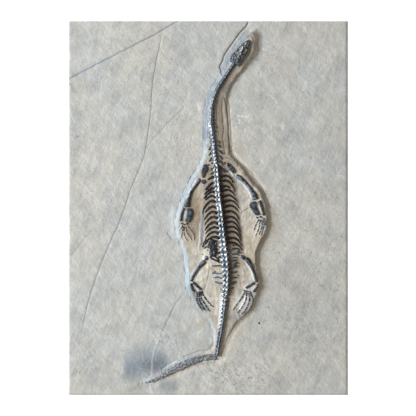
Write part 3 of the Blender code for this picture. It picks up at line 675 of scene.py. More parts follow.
@dataclass(frozen=True)
class LimestoneFinish:
    """The slab's upper face: pale grey stone, stained and scraped, with painted highlight and painted shade, as
    its mesh's tints say.
    """

    name: str = "limestone_face"
    cool: Colour = (0.455, 0.452, 0.43, 1)
    warm: Colour = (0.495, 0.468, 0.42, 1)
    blush: Colour = (0.545, 0.50, 0.44, 1)
    ash: Colour = (0.35, 0.355, 0.35, 1)
    speck: Colour = (0.16, 0.15, 0.14, 1)
    scuff: Colour = (0.66, 0.65, 0.62, 1)
    tints: tuple[tuple[Tint, Colour], ...] = (
        # The pale blue tint is painted highlight and slate is partly painted sheen where the stone faces the
        # window; brown and dark are partly painted shade and painted shadow beside the bones and on the shaded
        # flank
        (Tint.TAN, (0.47, 0.375, 0.265, 1)),
        (Tint.CREAM, (0.74, 0.69, 0.60, 1)),
        (Tint.BROWN, (0.265, 0.20, 0.138, 1)),
        (Tint.PAINTED_HIGHLIGHT, (0.335, 0.395, 0.44, 1)),
        (Tint.SLATE, (0.17, 0.205, 0.25, 1)),
        (Tint.PALE, (0.76, 0.78, 0.78, 1)),
        (Tint.DARK, (0.055, 0.052, 0.05, 1)),
    )

    def material(self) -> bpy.types.Material:
        """Makes the stone: broad warm and cool patches, clouds, brushed streaks, grain and dark specks.

        Returns:
            The finished material.
        """
        graph = Graph(self.name)
        colour = graph.mix(graph.cloud(42.0, 3.0).eased(0.36, 0.64), self.cool, self.warm)
        colour = graph.mix(graph.cloud(5.0, 6.0).eased(0.45, 0.7) * 0.5, colour, self.blush)
        colour = graph.mix(graph.cloud(8.0, 8.0, (1, 2.4, 1), 25.0).eased(0.46, 0.7) * 0.5, colour, self.ash)
        scuffs = (
            graph.cloud(1.6, 4.0, (1, 9, 1), -35.0).eased(0.62, 0.72)
            * graph.cloud(18.0, 2.0).eased(0.4, 0.6)
        )
        colour = graph.mix(scuffs * 0.45, colour, self.scuff)
        clouds = graph.cloud(9.0, 6.0) * 0.46 + 0.77
        streaks = graph.cloud(1.8, 3.0, (1, 5, 1), -42.0) * 0.36 + 0.82
        grain = graph.cloud(0.7, 3.0) * 0.34 + 0.83
        colour = graph.shade(colour, clouds * streaks * grain)
        pits = graph.cloud(1.9, 5.0).eased(0.42, 0.3) * graph.cloud(30.0, 2.0).eased(0.35, 0.6)
        colour = graph.mix(pits * 0.42, colour, self.speck)
        specks = graph.cloud(1.5, 1.0).eased(0.71, 0.78) * graph.cloud(22.0).eased(0.45, 0.62)
        colour = graph.mix(specks * 0.55, colour, self.speck)
        dents = graph.cloud(1.7, 2.0, (1, 2.2, 1), -40.0) + graph.cloud(1.2, 2.0, (2.4, 1, 1), 12.0) * 0.5
        tooled = graph.tint(Tint.TOOLED)
        colour = graph.mix(dents.eased(0.8, 0.95) * tooled * 0.5, colour, self.scuff)
        colour = graph.mix(dents.eased(0.7, 0.58) * tooled * 0.55, colour, self.speck)
        worn = graph.cloud(1.1, 3.0).eased(0.2, 0.62) * 0.45 + 0.55
        for tint, paint in self.tints:
            colour = graph.mix(graph.tint(tint) * (1.0 if tint is Tint.DARK else worn), colour, paint)
        colour = graph.shade(colour, graph.cloud(1.5, 4.0, (1, 2.5, 1), -20.0) * 0.3 + 0.85)
        relief = (
            graph.cloud(0.7, 4.0) + graph.cloud(3.0, 3.0) * 0.8
            + graph.cloud(1.8, 3.0, (1, 6, 1), 20.0) * 0.7
        )
        gloss = 0.62 - graph.tint(Tint.PAINTED_HIGHLIGHT) * 0.2 + graph.cloud(1.0) * 0.12
        relief = relief + dents * tooled * 2.0
        return graph.dress(Base_Color=colour, Roughness=gloss, Normal=graph.bump(relief, 0.24))


@dataclass(frozen=True)
class SawnFinish:
    """The slab's sides and underside: the same stone, sawn, with its thin beds showing."""

    name: str = "limestone_sawn"
    pale: Colour = (0.30, 0.285, 0.26, 1)
    dark: Colour = (0.19, 0.178, 0.16, 1)
    bed: float = 1.7

    def material(self) -> bpy.types.Material:
        """Makes the sawn stone: level beds that waver a little, saw marks and grain.

        Returns:
            The finished material.
        """
        graph = Graph(self.name)
        beds = graph.cloud(self.bed, 2.0, (14, 14, 1))
        colour = graph.mix(beds.eased(0.38, 0.62) * 0.6, self.pale, self.dark)
        colour = graph.shade(colour, graph.cloud(0.5, 3.0) * 0.3 + 0.85)
        marks = graph.cloud(0.6, 2.0, (1, 1, 9)) + graph.cloud(0.35, 2.0)
        return graph.dress(Base_Color=colour, Roughness=0.85, Normal=graph.bump(marks + beds, 0.2))


@dataclass(frozen=True)
class BoneFinish:
    """Mineralised bone: near-black with a slate-blue bloom and painted sheen, a little glossy, with calcite,
    painted highlights and stone in places.
    """

    name: str
    dark: Colour = (0.014, 0.016, 0.02, 1)
    bloom_and_sheen: Colour = (0.07, 0.1, 0.14, 1)
    calcite_and_highlight: Colour = (0.88, 0.9, 0.9, 1)
    stone: Colour = (0.42, 0.35, 0.26, 1)
    bloom_share: float = 0.55
    roughness: float = 0.36
    shine: float = 0.5

    def material(self) -> bpy.types.Material:
        """Makes the bone: mottled bloom, a fine fibrous grain, and the slate painted sheen and the calcite and
        painted highlights where the mesh is marked.

        Returns:
            The finished material.
        """
        graph = Graph(self.name)
        mottle = graph.cloud(1.3, 3.0).eased(0.42, 0.7) * self.bloom_share
        # Slate is bloom and, on the limb and rib bones, painted sheen; pale is calcite and painted highlight
        colour = graph.mix(mottle + graph.tint(Tint.SLATE), self.dark, self.bloom_and_sheen)
        calcite_and_highlight = graph.tint(Tint.PALE)
        colour = graph.mix(calcite_and_highlight, colour, self.calcite_and_highlight)
        colour = graph.mix(graph.tint(Tint.TAN), colour, self.stone)
        relief = graph.cloud(0.35, 3.0) + graph.cloud(1.2, 2.0)
        gloss = graph.cloud(0.8, 2.0) * 0.25 + self.roughness - 0.12 + calcite_and_highlight * 0.2
        normal = graph.bump(relief, 0.12)
        return graph.dress(Base_Color=colour, Roughness=gloss, Specular_IOR_Level=self.shine, Normal=normal)


LIMB_BONE = BoneFinish(
    "fossil_limb_bone", dark=(0.018, 0.019, 0.021, 1), bloom_and_sheen=(0.12, 0.145, 0.175, 1), bloom_share=0.4,
    shine=0.35
)
SKULL_BONE = BoneFinish(
    "fossil_skull", bloom_and_sheen=(0.14, 0.155, 0.17, 1), bloom_share=0.4, roughness=0.4, shine=0.4
)
RIB_BONE = BoneFinish(
    "fossil_rib", dark=(0.012, 0.011, 0.01, 1), bloom_and_sheen=(0.05, 0.06, 0.075, 1), bloom_share=0.25,
    roughness=0.45,
    shine=0.25,
)
SPINE_BONE = BoneFinish("fossil_vertebra", bloom_and_sheen=(0.11, 0.155, 0.21, 1), bloom_share=0.5, roughness=0.32)
TAIL_BONE = BoneFinish(
    "fossil_tail_tip", dark=(0.085, 0.087, 0.09, 1), bloom_and_sheen=(0.24, 0.25, 0.265, 1), bloom_share=0.7,
    roughness=0.6,
    shine=0.3, calcite_and_highlight=(0.45, 0.46, 0.47, 1),
)
GUT_BONE = BoneFinish(
    "fossil_crushed_bone", dark=(0.009, 0.009, 0.009, 1), bloom_and_sheen=(0.05, 0.06, 0.08, 1), bloom_share=0.2,
    shine=0.3
)


@dataclass
class Shape:
    """A mesh in millimetres with its tints, ready to become a piece."""

    points: Array
    faces: Faces
    tints: dict[Tint, Array] = field(default_factory=dict)
    second: Array | None = None

    def joined(self, other: "Shape") -> "Shape":
        """This shape and another as one, with the tints of both.

        Args:
            other: The shape that is added.

        Returns:
            The two as one shape.
        """
        count = len(self.points)
        faces = self.faces + [tuple(i + count for i in face) for face in other.faces]
        tints = {}
        for tint in {**self.tints, **other.tints}:
            ours = self.tints.get(tint, np.zeros(count))
            tints[tint] = np.concatenate([ours, other.tints.get(tint, np.zeros(len(other.points)))])
        return Shape(np.concatenate([self.points, other.points]), faces, tints)

    def piece(self, name: str, materials: list[bpy.types.Material], nodes: tuple[str, ...], slot: Slot) -> None:
        """Makes the shape an object that stands for CAD nodes.

        Args:
            name: The object's name.
            materials: Its materials; the second is on the faces that the shape marks.
            nodes: The CAD nodes that it replaces.
            slot: The material slot for it; not used.
        """
        mesh = bpy.data.meshes.new(name)
        mesh.from_pydata(self.points * MM, [], self.faces)
        for material in materials:
            mesh.materials.append(material)
        if self.second is not None:
            mesh.polygons.foreach_set("material_index", self.second.astype(np.int32))
        for tint, shares in self.tints.items():
            layer = mesh.attributes.new(tint.value, "FLOAT", "POINT")
            layer.data.foreach_set("value", np.clip(shares, 0, 1).astype(np.float32))
        mesh.shade_smooth()
        mesh.update()
        made = bpy.data.objects.new(name, mesh)
        bpy.context.scene.collection.objects.link(made)
        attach(made, BODY)
        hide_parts(*nodes)
        low, high = self.points.min(axis=0), self.points.max(axis=0)
        LOG.info("%s: %d faces, from %s to %s mm", name, len(self.faces), low.round(1), high.round(1))


class BonePlan:
    """The bones' outlines on the slab, seen from above, as the frame has them."""

    def __init__(self) -> None:
        """Flattens the CAD bones onto one plane."""
        corners: list[Vector] = []
        faces: Faces = []
        for name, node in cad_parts.items():
            if name != "slab":
                first = len(corners)
                corners += [Vector((v.co.x / MM, v.co.y / MM, 0)) for v in node.data.vertices]
                faces += [tuple(i + first for i in face.vertices) for face in node.data.polygons]
        self.tree = BVHTree.FromPolygons(corners, faces)

    def towards(self, points: Array) -> Array:
        """The step from each point to the nearest bone's outline, which is nothing under a bone.

        Args:
            points: Places on the stone.

        Returns:
            The steps along x and y.
        """
        steps = np.zeros((len(points), 2))
        for i, (x, y) in enumerate(points):
            found = self.tree.find_nearest((x, y, 0))[0]
            steps[i] = (found.x - x, found.y - y)
        return steps


@dataclass
class Ground:
    """Where points of the stone lie, with the noise that breaks up its height and tints there.

    The depth is inside the bed's edge, and left is how far that edge faces left. Right is measured from the
    midline, bone is the way to the nearest bone, and before is 1 where that way leads straight to the right.
    """

    points: Array
    depth: Array
    left: Array
    right: Array
    bone: Array
    before: Array

    def __post_init__(self) -> None:
        """Works out what several heights and tints share."""
        self.y = self.points[:, 1]
        self.within = ease(self.depth, -0.2, 1.2)
        self.lit = ease(self.left, 0.15, 0.75)
        self.shaded = ease(-self.left, 0.2, 0.8)
        self.arm = bell(self.right + 18, 9) * bell(self.y + 4, 22) * self.within
        self.blotch = rough(self.points, 9.0, 12.0)
        self.fine = rough(self.points, (1.6, 3.2, 1.6), 15.0)
        self.patch = rough(self.points, 3.6, 17.0)
        self.streak = rough(self.points, (0.8, 4.5, 0.8), 18.0)


@dataclass
class Relief:
    """The stone's upper surface, as heights over its underside and as tints."""

    thickness: float = 15.0
    flank_foot: tuple[float, float] = (0.9, 3.0)
    flank_head: tuple[float, float] = (1.3, 2.2)
    dome_rise: float = 2.0
    dome_half_width: float = 14.0
    neck_slope_drop: float = 2.65
    neck_slope_width: float = 9.5
    bed_rise: Line = ((-122, 0.4), (-105, 0.9), (-95, 1.3), (-85, 2.0), (-75, 2.9), (-40, 3.6), (125, 3.4))
    dome_share: Line = ((-62, 0.0), (-36, 1.0), (16, 1.0), (34, 0.0))
    neck_slope_start: Line = ((97, 2.6), (102, 3.4), (112, 3.7), (118, 2.6))
    neck_slope_share: Line = ((30, 0.0), (46, 1.0), (82, 1.0), (98, 0.55), (110, 0.25))
    reach: float = 12.0
    bone_reach: float = 3.0
    fillet: float = 0.2
    bones: BonePlan = field(default_factory=BonePlan)

    def __post_init__(self) -> None:
        """Smooths the bed's outline and makes it a little uneven."""
        outline = smooth_path(BED_OUTLINE + BED_OUTLINE[:1], 1.0)
        uneven = rough(outline, 5.0, 19.0) * 0.6 + rough(outline, 2.0, 20.0) * 0.35
        self.outline = outline + sideways(outline) * uneven[:, None]

    def rim(self, points: Array) -> tuple[Array, Array]:
        """Where points lie to the bed's edge.

        Args:
            points: Rows of x and y.

        Returns:
            How deep each point lies inside the edge, negative outside, and how far the nearest edge faces
            left, from -1 to 1.
        """
        distance, along = line_distance(points, self.outline, self.reach)
        within = inside(points, self.outline[:-1])
        depth = np.where(within, 1, -1) * np.minimum(distance, self.reach)
        outward = sideways(self.outline)
        outward[[0, -1]] = (outward[0] + outward[-1]) / 2
        left = -np.interp(along, np.linspace(0, 1, len(outward)), outward[:, 0])
        return depth, np.where(np.isinf(distance), 0, left)

    def to_right(self, points: Array) -> Array:
        """How far points lie to the right of the skeleton's midline."""
        return points[:, 0] - read_off(tuple((y, x) for x, y in MIDLINE), points[:, 1])

    def bed(self, points: Array, rim: tuple[Array, Array] | None = None) -> Array:
        """The stone's plain height, as the CAD slab has it, but with a softer flank.

        On the left the flank is narrow. On the right it is steep at its head and runs out slowly at its foot.

        Args:
            points: Rows of x and y.
            rim: What rim() says of the points, if it is known.

        Returns:
            One height for each point.
        """
        depth, left = rim or self.rim(points)
        y = points[:, 1]
        turned = ease(-left, -0.2, 0.6)
        foot, head = (low + (high - low) * turned for low, high in (self.flank_foot, self.flank_head))
        head += turned * (ease(y, 98, 106) * 1.6 - ease(y, 30, 44) * 1.2)
        foot += turned * (ease(y, -48, -64) * 2.6 + ease(y, 96, 106) * 2.0)
        steep = 1 + 1.1 * turned * (1 - 0.85 * ease(y, 96, 106))
        flank = ease(np.clip((depth + foot) / (foot + head), 0, 1) ** steep, 0, 1)
        right = self.to_right(points)
        dome = read_off(self.dome_share, y) * np.maximum(0, 1 - (right / self.dome_half_width) ** 2)
        fallen = np.clip((right - read_off(self.neck_slope_start, y)) / self.neck_slope_width, 0, 1)
        drop = self.neck_slope_drop * fallen * read_off(self.neck_slope_share, y)
        return self.thickness + flank * (read_off(self.bed_rise, y) + dome * self.dome_rise - drop)

    def ground(self, points: Array) -> Ground:
        """Measures points from the bed's edge, the midline and the bones.

        Args:
            points: Places on the stone.

        Returns:
            The places with their measures.
        """
        depth, left = self.rim(points)
        steps = np.full((len(points), 2), self.reach)
        close = np.flatnonzero(depth > -self.bone_reach)
        steps[close] = self.bones.towards(points[close])
        bone = np.linalg.norm(steps, axis=1)
        return Ground(points, depth, left, self.to_right(points), bone, steps[:, 0] / np.maximum(bone, 1e-6))

    def height(self, at: Ground) -> Array:
        """The stone's height with its waves, scrapes, grooved left flank and fillets at the bones.

        Args:
            at: The measured places.

        Returns:
            The height at each place.
        """
        points, within = at.points, at.within
        height = self.bed(points, (at.depth, at.left))
        height += rough(points, 34.0, 1.0) * 0.16 + rough(points, 11.0, 7.0) * 0.07
        height += (rough(points, (2.6, 5.0, 2.6), 4.0) + rough(points, 4.2, 14.0)) * 0.1 * (1 - within)
        height += within * (rough(points, 5.5, 2.0) * 0.2 + rough(points, (1.5, 2.8, 1.5), 5.0) * 0.15)
        height += self.fillet * bell(at.bone, 0.4)
        return height + at.lit * bell(at.depth, 1.6) * at.streak * 0.42

    def scraped(self, at: Ground) -> dict[Tint, Array]:
        """The bed's tints: tan; brown painted shade beside the spine and at the left arm; cream at the sides and
        as painted highlight left of the bones; painted shadow in dark along the spine's right side.

        Args:
            at: The measured places.

        Returns:
            The share of each tint at each point.
        """
        y, right, within = at.y, at.right, at.within
        cage = ease(y, -34, -22) * ease(y, 36, 26)
        # Painted shade: brown beside the spine, strongest among the ribs
        near_spine = (
            bell(right - 6.5, 5.5) * (0.35 + 0.8 * cage) + bell(right + 4.5, 5.5) * 1.05 * cage
        ) * within
        mottle = 0.6 + 0.35 * at.blotch + 0.3 * at.fine + 0.35 * at.patch
        sides = np.clip(0.2 + 0.5 * at.blotch + 0.4 * at.fine + 0.4 * at.patch, 0, 1) * (1 - at.arm)
        hip = ease(y, -34, -44) * ease(np.abs(right), 2, 8) * (0.12 + 0.8 * at.patch)
        # Painted highlight: cream on the stone just left of the bones, where it faces the window
        edges = bell(at.bone - 0.35, 0.3) * ease(at.before, 0.0, 0.7) * 0.5
        trunk = ease(y, -78, -62) * ease(y, 42, 30) * within
        # Painted shadow: dark on the stone along the spine's right side
        beside = right - read_off(((-60, 2.7), (-20, 2.9), (40, 2.3), (100, 2.1)), y)
        dark = bell(beside - 0.3, 0.95) * ease(y, -80, -56) * (1 - 0.75 * ease(y, 34, 50)) * ease(y, 84, 66)
        tan = mottle * (1 - 0.85 * ease(y, -96, -108)) + bell(right - 19, 7) * bell(y + 26, 10) * 0.5
        brown = near_spine * (1 + 0.4 * at.fine) * ease(y, -96, -70) * ease(y, 92, 84)
        # At the left arm, tan and brown are painted shade in the valley between the arm and the trunk
        return {
            Tint.TAN: within * tan + at.arm * 0.8,
            Tint.BROWN: brown + at.arm * (1.2 + 0.6 * at.patch),
            Tint.CREAM: trunk * (ease(np.abs(right), 8, 14) * sides + hip + edges),
            Tint.DARK: dark * 0.7,
        }

    def right_flank(self, at: Ground) -> dict[Tint, Array]:
        """The tints of the flank that faces away from the window: cream and tan, with brown painted shade along
        the trunk.

        Args:
            at: The measured places.

        Returns:
            The share of each tint at each point.
        """
        y, depth = at.y, at.depth
        foot = bell(depth + 1.6, 1.8) * (0.9 - 0.6 * ease(y, 34, 50))
        neck = bell(depth - 1.6, 1.5) * 0.6 * ease(y, 34, 60) * ease(y, 84, 76)
        tail = bell(depth, 2.6) * 0.6 * ease(y, -72, -90)
        return {
            # Brown is painted shade on the flank that faces away from the window
            Tint.BROWN: at.shaded * ease(y, -96, -76) * ease(y, 60, 34) * bell(depth - 1.5, 1.3) * 0.4,
            Tint.CREAM: at.shaded * (foot + neck + tail),
            Tint.TAN: at.shaded * bell(depth + 1.5, 1.6) * 0.3,
        }

    def left_flank(self, at: Ground) -> dict[Tint, Array]:
        """The tints of the flank that faces the window: a pale blue painted highlight, a slate painted sheen at
        the neck, and a thin dark line of painted shade at its foot.

        Args:
            at: The measured places.

        Returns:
            The share of each tint at each point.
        """
        y, depth, streak = at.y, at.depth, at.streak
        # Painted highlight in pale blue and painted sheen in slate on the flank that faces the window; dark is
        # painted shade in the crease at its foot
        painted_highlight = bell(depth - 0.1, 1.6) * (0.85 + 1.1 * at.fine + 0.5 * streak)
        painted_highlight += bell(depth - 2, 0.9) * bell(y - 8, 14) * 0.9
        painted_highlight *= ease(y, -99, -90) * (1 - 0.75 * ease(y, 38, 54)) * (1 - 0.5 * ease(y, -46, -54))
        painted_highlight *= (1 - 0.5 * ease(y, 82, 96)) * ease(y, 122.5, 118.5)
        slate = bell(depth - 0.7, 1.5) * ease(y, 84, 100) * 0.38
        slate += (
            bell(depth - 0.2, 1.6) * ease(y, 36, 54) * (1 - 0.6 * ease(y, 80, 95))
            * (1.15 + 0.9 * streak)
        )
        slate += (
            bell(depth - 1.2, 0.9) * ease(y, 44, 36) * ease(y, -50, -44)
            * ease(at.fine, -0.25, 0.4) * 0.4
        )
        slate += bell(depth - 0.2, 1.4) * ease(y, -46, -54) * 0.2
        return {
            Tint.BROWN: at.lit * bell(depth - 0.6, 1.2) * ease(streak, 0.1, 0.6) * 0.5,
            Tint.DARK: at.lit * bell(depth + 1.7, 0.4) * ease(at.fine, -0.1, 0.5) * 0.42,
            Tint.PAINTED_HIGHLIGHT: at.lit * painted_highlight,
            Tint.SLATE: at.lit * slate,
        }

    def survey(self, points: Array) -> tuple[Array, dict[Tint, Array]]:
        """The dressed surface: scraping, fillets at the bones, ledges, cracks and stains.

        Args:
            points: Rows of x and y.

        Returns:
            Heights, and a share of each tint, for each point.
        """
        ground = self.ground(points)
        height = self.height(ground)
        tints = {tint: np.zeros(len(points)) for tint in Tint}
        for layer in (self.scraped(ground), self.right_flank(ground), self.left_flank(ground)):
            for tint, share in layer.items():
                tints[tint] += share
        # Left of the neck the stone faces the window: less tan and cream, and painted highlight
        beside_neck = ease(-ground.right, 0.5, 2.5) * ease(ground.y, 44, 60) * ground.within
        tints[Tint.TAN] *= 1 - 0.85 * beside_neck
        tints[Tint.CREAM] *= 1 - 0.6 * beside_neck
        tints[Tint.PAINTED_HIGHLIGHT] += beside_neck * (0.4 + 0.3 * ground.fine)
        for mark in CRACKS + LEDGES + SCRATCHES + SMUDGES:
            share = mark.share(points)
            height -= share * mark.depth
            tints[mark.tint] += share * mark.strength
        return height, tints


@dataclass
class Slab:
    """The stone: its dressed upper face, sawn sides and underside."""

    relief: Relief
    fine_step: float = 0.5
    coarse_step: float = 1.35
    fine_margin: float = 3.2
    edge_step: float = 1.8
    arris: float = 0.8
    wall_rows: int = 9
    under_step: float = 5.0
    dot_rings: tuple[float, ...] = (0.3, 0.6, 0.9, 1.25, 1.7)

    def __post_init__(self) -> None:
        """Reads the slab's sides from the frame."""
        low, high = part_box("slab")
        self.half_width = (high.x - low.x) / 2 / MM
        self.half_length = (high.y - low.y) / 2 / MM

    def ring(self, inset: float) -> Array:
        """Points round the slab's edge, drawn in by an inset.

        Args:
            inset: How far the points lie in from the edge.

        Returns:
            The points in order round the slab.
        """
        corners = np.array(((-1, -1), (1, -1), (1, 1), (-1, 1)), float)
        corners *= (self.half_width - inset, self.half_length - inset)
        runs = []
        for start, end in zip(corners, np.roll(corners, -1, axis=0)):
            side = self.half_width if start[1] == end[1] else self.half_length
            share = np.linspace(0, 1, round(2 * side / self.edge_step), endpoint=False)
            runs.append(start + (end - start) * share[:, None])
        return np.concatenate(runs)

    def grid(self, step: float) -> Array:
        """A triangular grid of points over the slab's face, clear of its edge.

        Args:
            step: The distance between neighbours.

        Returns:
            The points of the grid.
        """
        rows = []
        wide, long = self.half_width - self.arris - step / 2, self.half_length - self.arris - step / 2
        for row, y in enumerate(np.arange(-long, long, step * math.sqrt(3) / 2)):
            x = np.arange(-wide + step / 2 * (row % 2), wide, step)
            rows.append(np.stack([x, np.full(len(x), y)], axis=1))
        return np.concatenate(rows)

    def face_points(self) -> Array:
        """Points for the upper face: close together on the bed and along the marks, wide apart elsewhere.

        Returns:
            The points, clear of the slab's edge.
        """
        coarse = self.grid(self.coarse_step)
        coarse = coarse[self.relief.rim(coarse)[0] < -self.fine_margin]
        fine = self.grid(self.fine_step)
        fine = fine[self.relief.rim(fine)[0] > -self.fine_margin - self.fine_step / 2]
        drawn = []
        for mark in CRACKS + SCRATCHES:
            path = mark.path()[:, :2]
            across = sideways(path) * mark.width
            lines = np.concatenate([path, path - across, path + across, path - 2 * across, path + 2 * across])
            if len(path) < 3:
                turns = np.linspace(0, 2 * math.pi, 10, endpoint=False)
                ring = np.stack([np.cos(turns), np.sin(turns)], axis=1)
                lines = np.concatenate([path[:1] + ring * reach for reach in self.dot_rings])
            coarse = coarse[np.isinf(line_distance(coarse, path, 2.4 * mark.width)[0])]
            drawn.append(lines[self.relief.rim(lines)[0] < -self.fine_margin])
        drawn = np.concatenate(drawn)
        room = np.array((self.half_width - self.arris, self.half_length - self.arris)) - 0.3
        return np.concatenate([coarse, fine, drawn[(np.abs(drawn) < room).all(axis=1)]])

    def face(self) -> Shape:
        """The upper face with its worn top edge.

        Returns:
            The face, whose first points are the slab's edge.
        """
        border, arris = self.ring(0), self.ring(self.arris)
        arris -= arris / np.abs(arris).max(axis=0) * np.abs(rough(arris, 6.0, 9.0) * 0.7)[:, None]
        points = np.concatenate([border, arris, self.face_points()])
        flat, first, faces = tiles(points, len(border), 2)
        height, tints = self.relief.survey(flat)
        height[first < len(border)] = self.relief.thickness - self.arris
        order = np.argsort(first, kind="stable")
        back = np.empty(len(order), int)
        back[order] = np.arange(len(order))
        turned = [tuple(int(back[i]) for i in face) for face in faces]
        points = np.column_stack([flat, height])[order]
        return Shape(points, turned, {tint: share[order] for tint, share in tints.items()})

    def build(self) -> None:
        """Closes the face with sides and an underside, and makes the slab."""
        face = self.face()
        border = self.ring(0)
        count = len(border)
        top = self.relief.thickness - self.arris
        points = [face.points]
        for z in np.linspace(top, self.arris / 2, self.wall_rows)[1:]:
            level = np.column_stack([border, np.full(count, z)])
            inward = np.abs(rough(level, (4.0, 4.0, 1.2), 6.0) * 0.3 + rough(level, 0.9, 8.0) * 0.1)
            level[:, :2] -= (
                np.sign(border) * (np.abs(border) >= (self.half_width, self.half_length))
                * inward[:, None]
            )
            points.append(level)
        low = np.concatenate([self.ring(self.arris / 2), self.grid(self.under_step)])
        _, first, under = tiles(low, count, 1)
        start = len(face.points) + count * (self.wall_rows - 1)
        points.append(np.column_stack([low, np.zeros(len(low))]))
        rings = [np.arange(count)]
        rings += [len(face.points) + count * row + np.arange(count) for row in range(self.wall_rows)]
        faces = list(face.faces)
        for upper, lower in zip(rings, rings[1:]):
            faces += band(upper, lower)
        faces += [tuple(int(start + first[i]) for i in reversed(tile)) for tile in under]
        points = np.concatenate(points)
        blank = len(points) - len(face.points)
        tints = {tint: np.concatenate([share, np.zeros(blank)]) for tint, share in face.tints.items()}
        second = np.arange(len(faces)) >= len(face.faces)
        shape = Shape(points, faces, tints, second)
        shape.piece(
            "limestone_slab", [LimestoneFinish().material(), SawnFinish().material()], ("slab",),
            Slot.STONE,
        )


def ridge(path: Array, left: Array, right: Array, across: Array, tops: Array, base: Array) -> Shape:
    """A closed body that lies along a path, with a flat underside below its two edges.

    Args:
        path: Rows of x and y.
        left: How far the left edge is from the path at each row.
        right: The same for the right edge.
        across: Places across the body from -1 at the left edge to 1 at the right edge.
        tops: The height at each row and place.
        base: The height of the underside at each row.

    Returns:
        The shape.
    """
    normal = sideways(path)
    columns = np.concatenate([across[:1], across, across[-1:]])
    reach = np.where(columns < 0, left[:, None], right[:, None]) * columns
    flat = path[:, None, :2] + normal[:, None, :] * reach[:, :, None]
    heights = np.column_stack([base, tops, base])
    points = np.concatenate([flat, heights[:, :, None]], axis=2).reshape(-1, 3)
    numbers = np.arange(heights.size).reshape(heights.shape)
    faces = [face for near, far in zip(numbers, numbers[1:]) for face in band(near, far)]
    faces += [tuple(numbers[0].tolist()), tuple(reversed(numbers[-1].tolist()))]
    return Shape(points, faces)


def bar(relief: Relief, line: Line | Array, widths: Line, heights: Line, step: float = 0.3) -> Shape:
    """A small round-backed bone on the stone.

    Args:
        relief: The stone that it lies on.
        line: Its middle line as points (x, y).
        widths: Its width as (share of its length, width).
        heights: Its height over the stone in the same form.
        step: How far apart its cross-sections are.

    Returns:
        The shape.
    """
    path = smooth_path(line, step)
    share = np.linspace(0, 1, len(path))
    blunt = np.sqrt(np.clip(1 - np.abs(2 * share - 1) ** 9, 0.04, 1))
    half = read_off(widths, share) / 2 * blunt
    across = np.sin(np.linspace(-math.pi / 2, math.pi / 2, 9))
    ground = relief.bed(path[:, :2])
    top = read_off(heights, share) * blunt
    tops = ground[:, None] + top[:, None] * (1 - np.abs(across) ** 2.4) ** 0.7
    return ridge(path, half, half, across, tops, ground - 0.4)


@dataclass(frozen=True)
class Fragment:
    """A short rib or a splinter of bone: its line, width and height, and how blue-grey it is."""

    line: Line
    width: float = 1.0
    height: float = 1.2
    bloom_and_sheen: float = 0.2

    def shape(self, relief: Relief) -> Shape:
        """The fragment as a body lying on the stone.

        Args:
            relief: The stone.

        Returns:
            The shape.
        """
        widths = ((0, self.width), (0.3, self.width * 0.85), (0.7, self.width * 0.95), (1, self.width * 0.75))
        shape = bar(relief, self.line, widths, ((0, self.height), (1, self.height * 0.85)))
        shape.points[:, :2] += drift(shape.points, 1.1, 50.0) * 0.22
        shape.points[:, 2] += rough(shape.points, 0.8, 52.0) * 0.15
        shape.tints = {Tint.SLATE: np.full(len(shape.points), self.bloom_and_sheen)}
        return shape


def fragments(*rows: tuple[Line | float, ...]) -> tuple[Fragment, ...]:
    """Fragments from rows of line, width, height and bloom, of which the last ones may be left out."""
    return tuple(Fragment(*row) for row in rows)


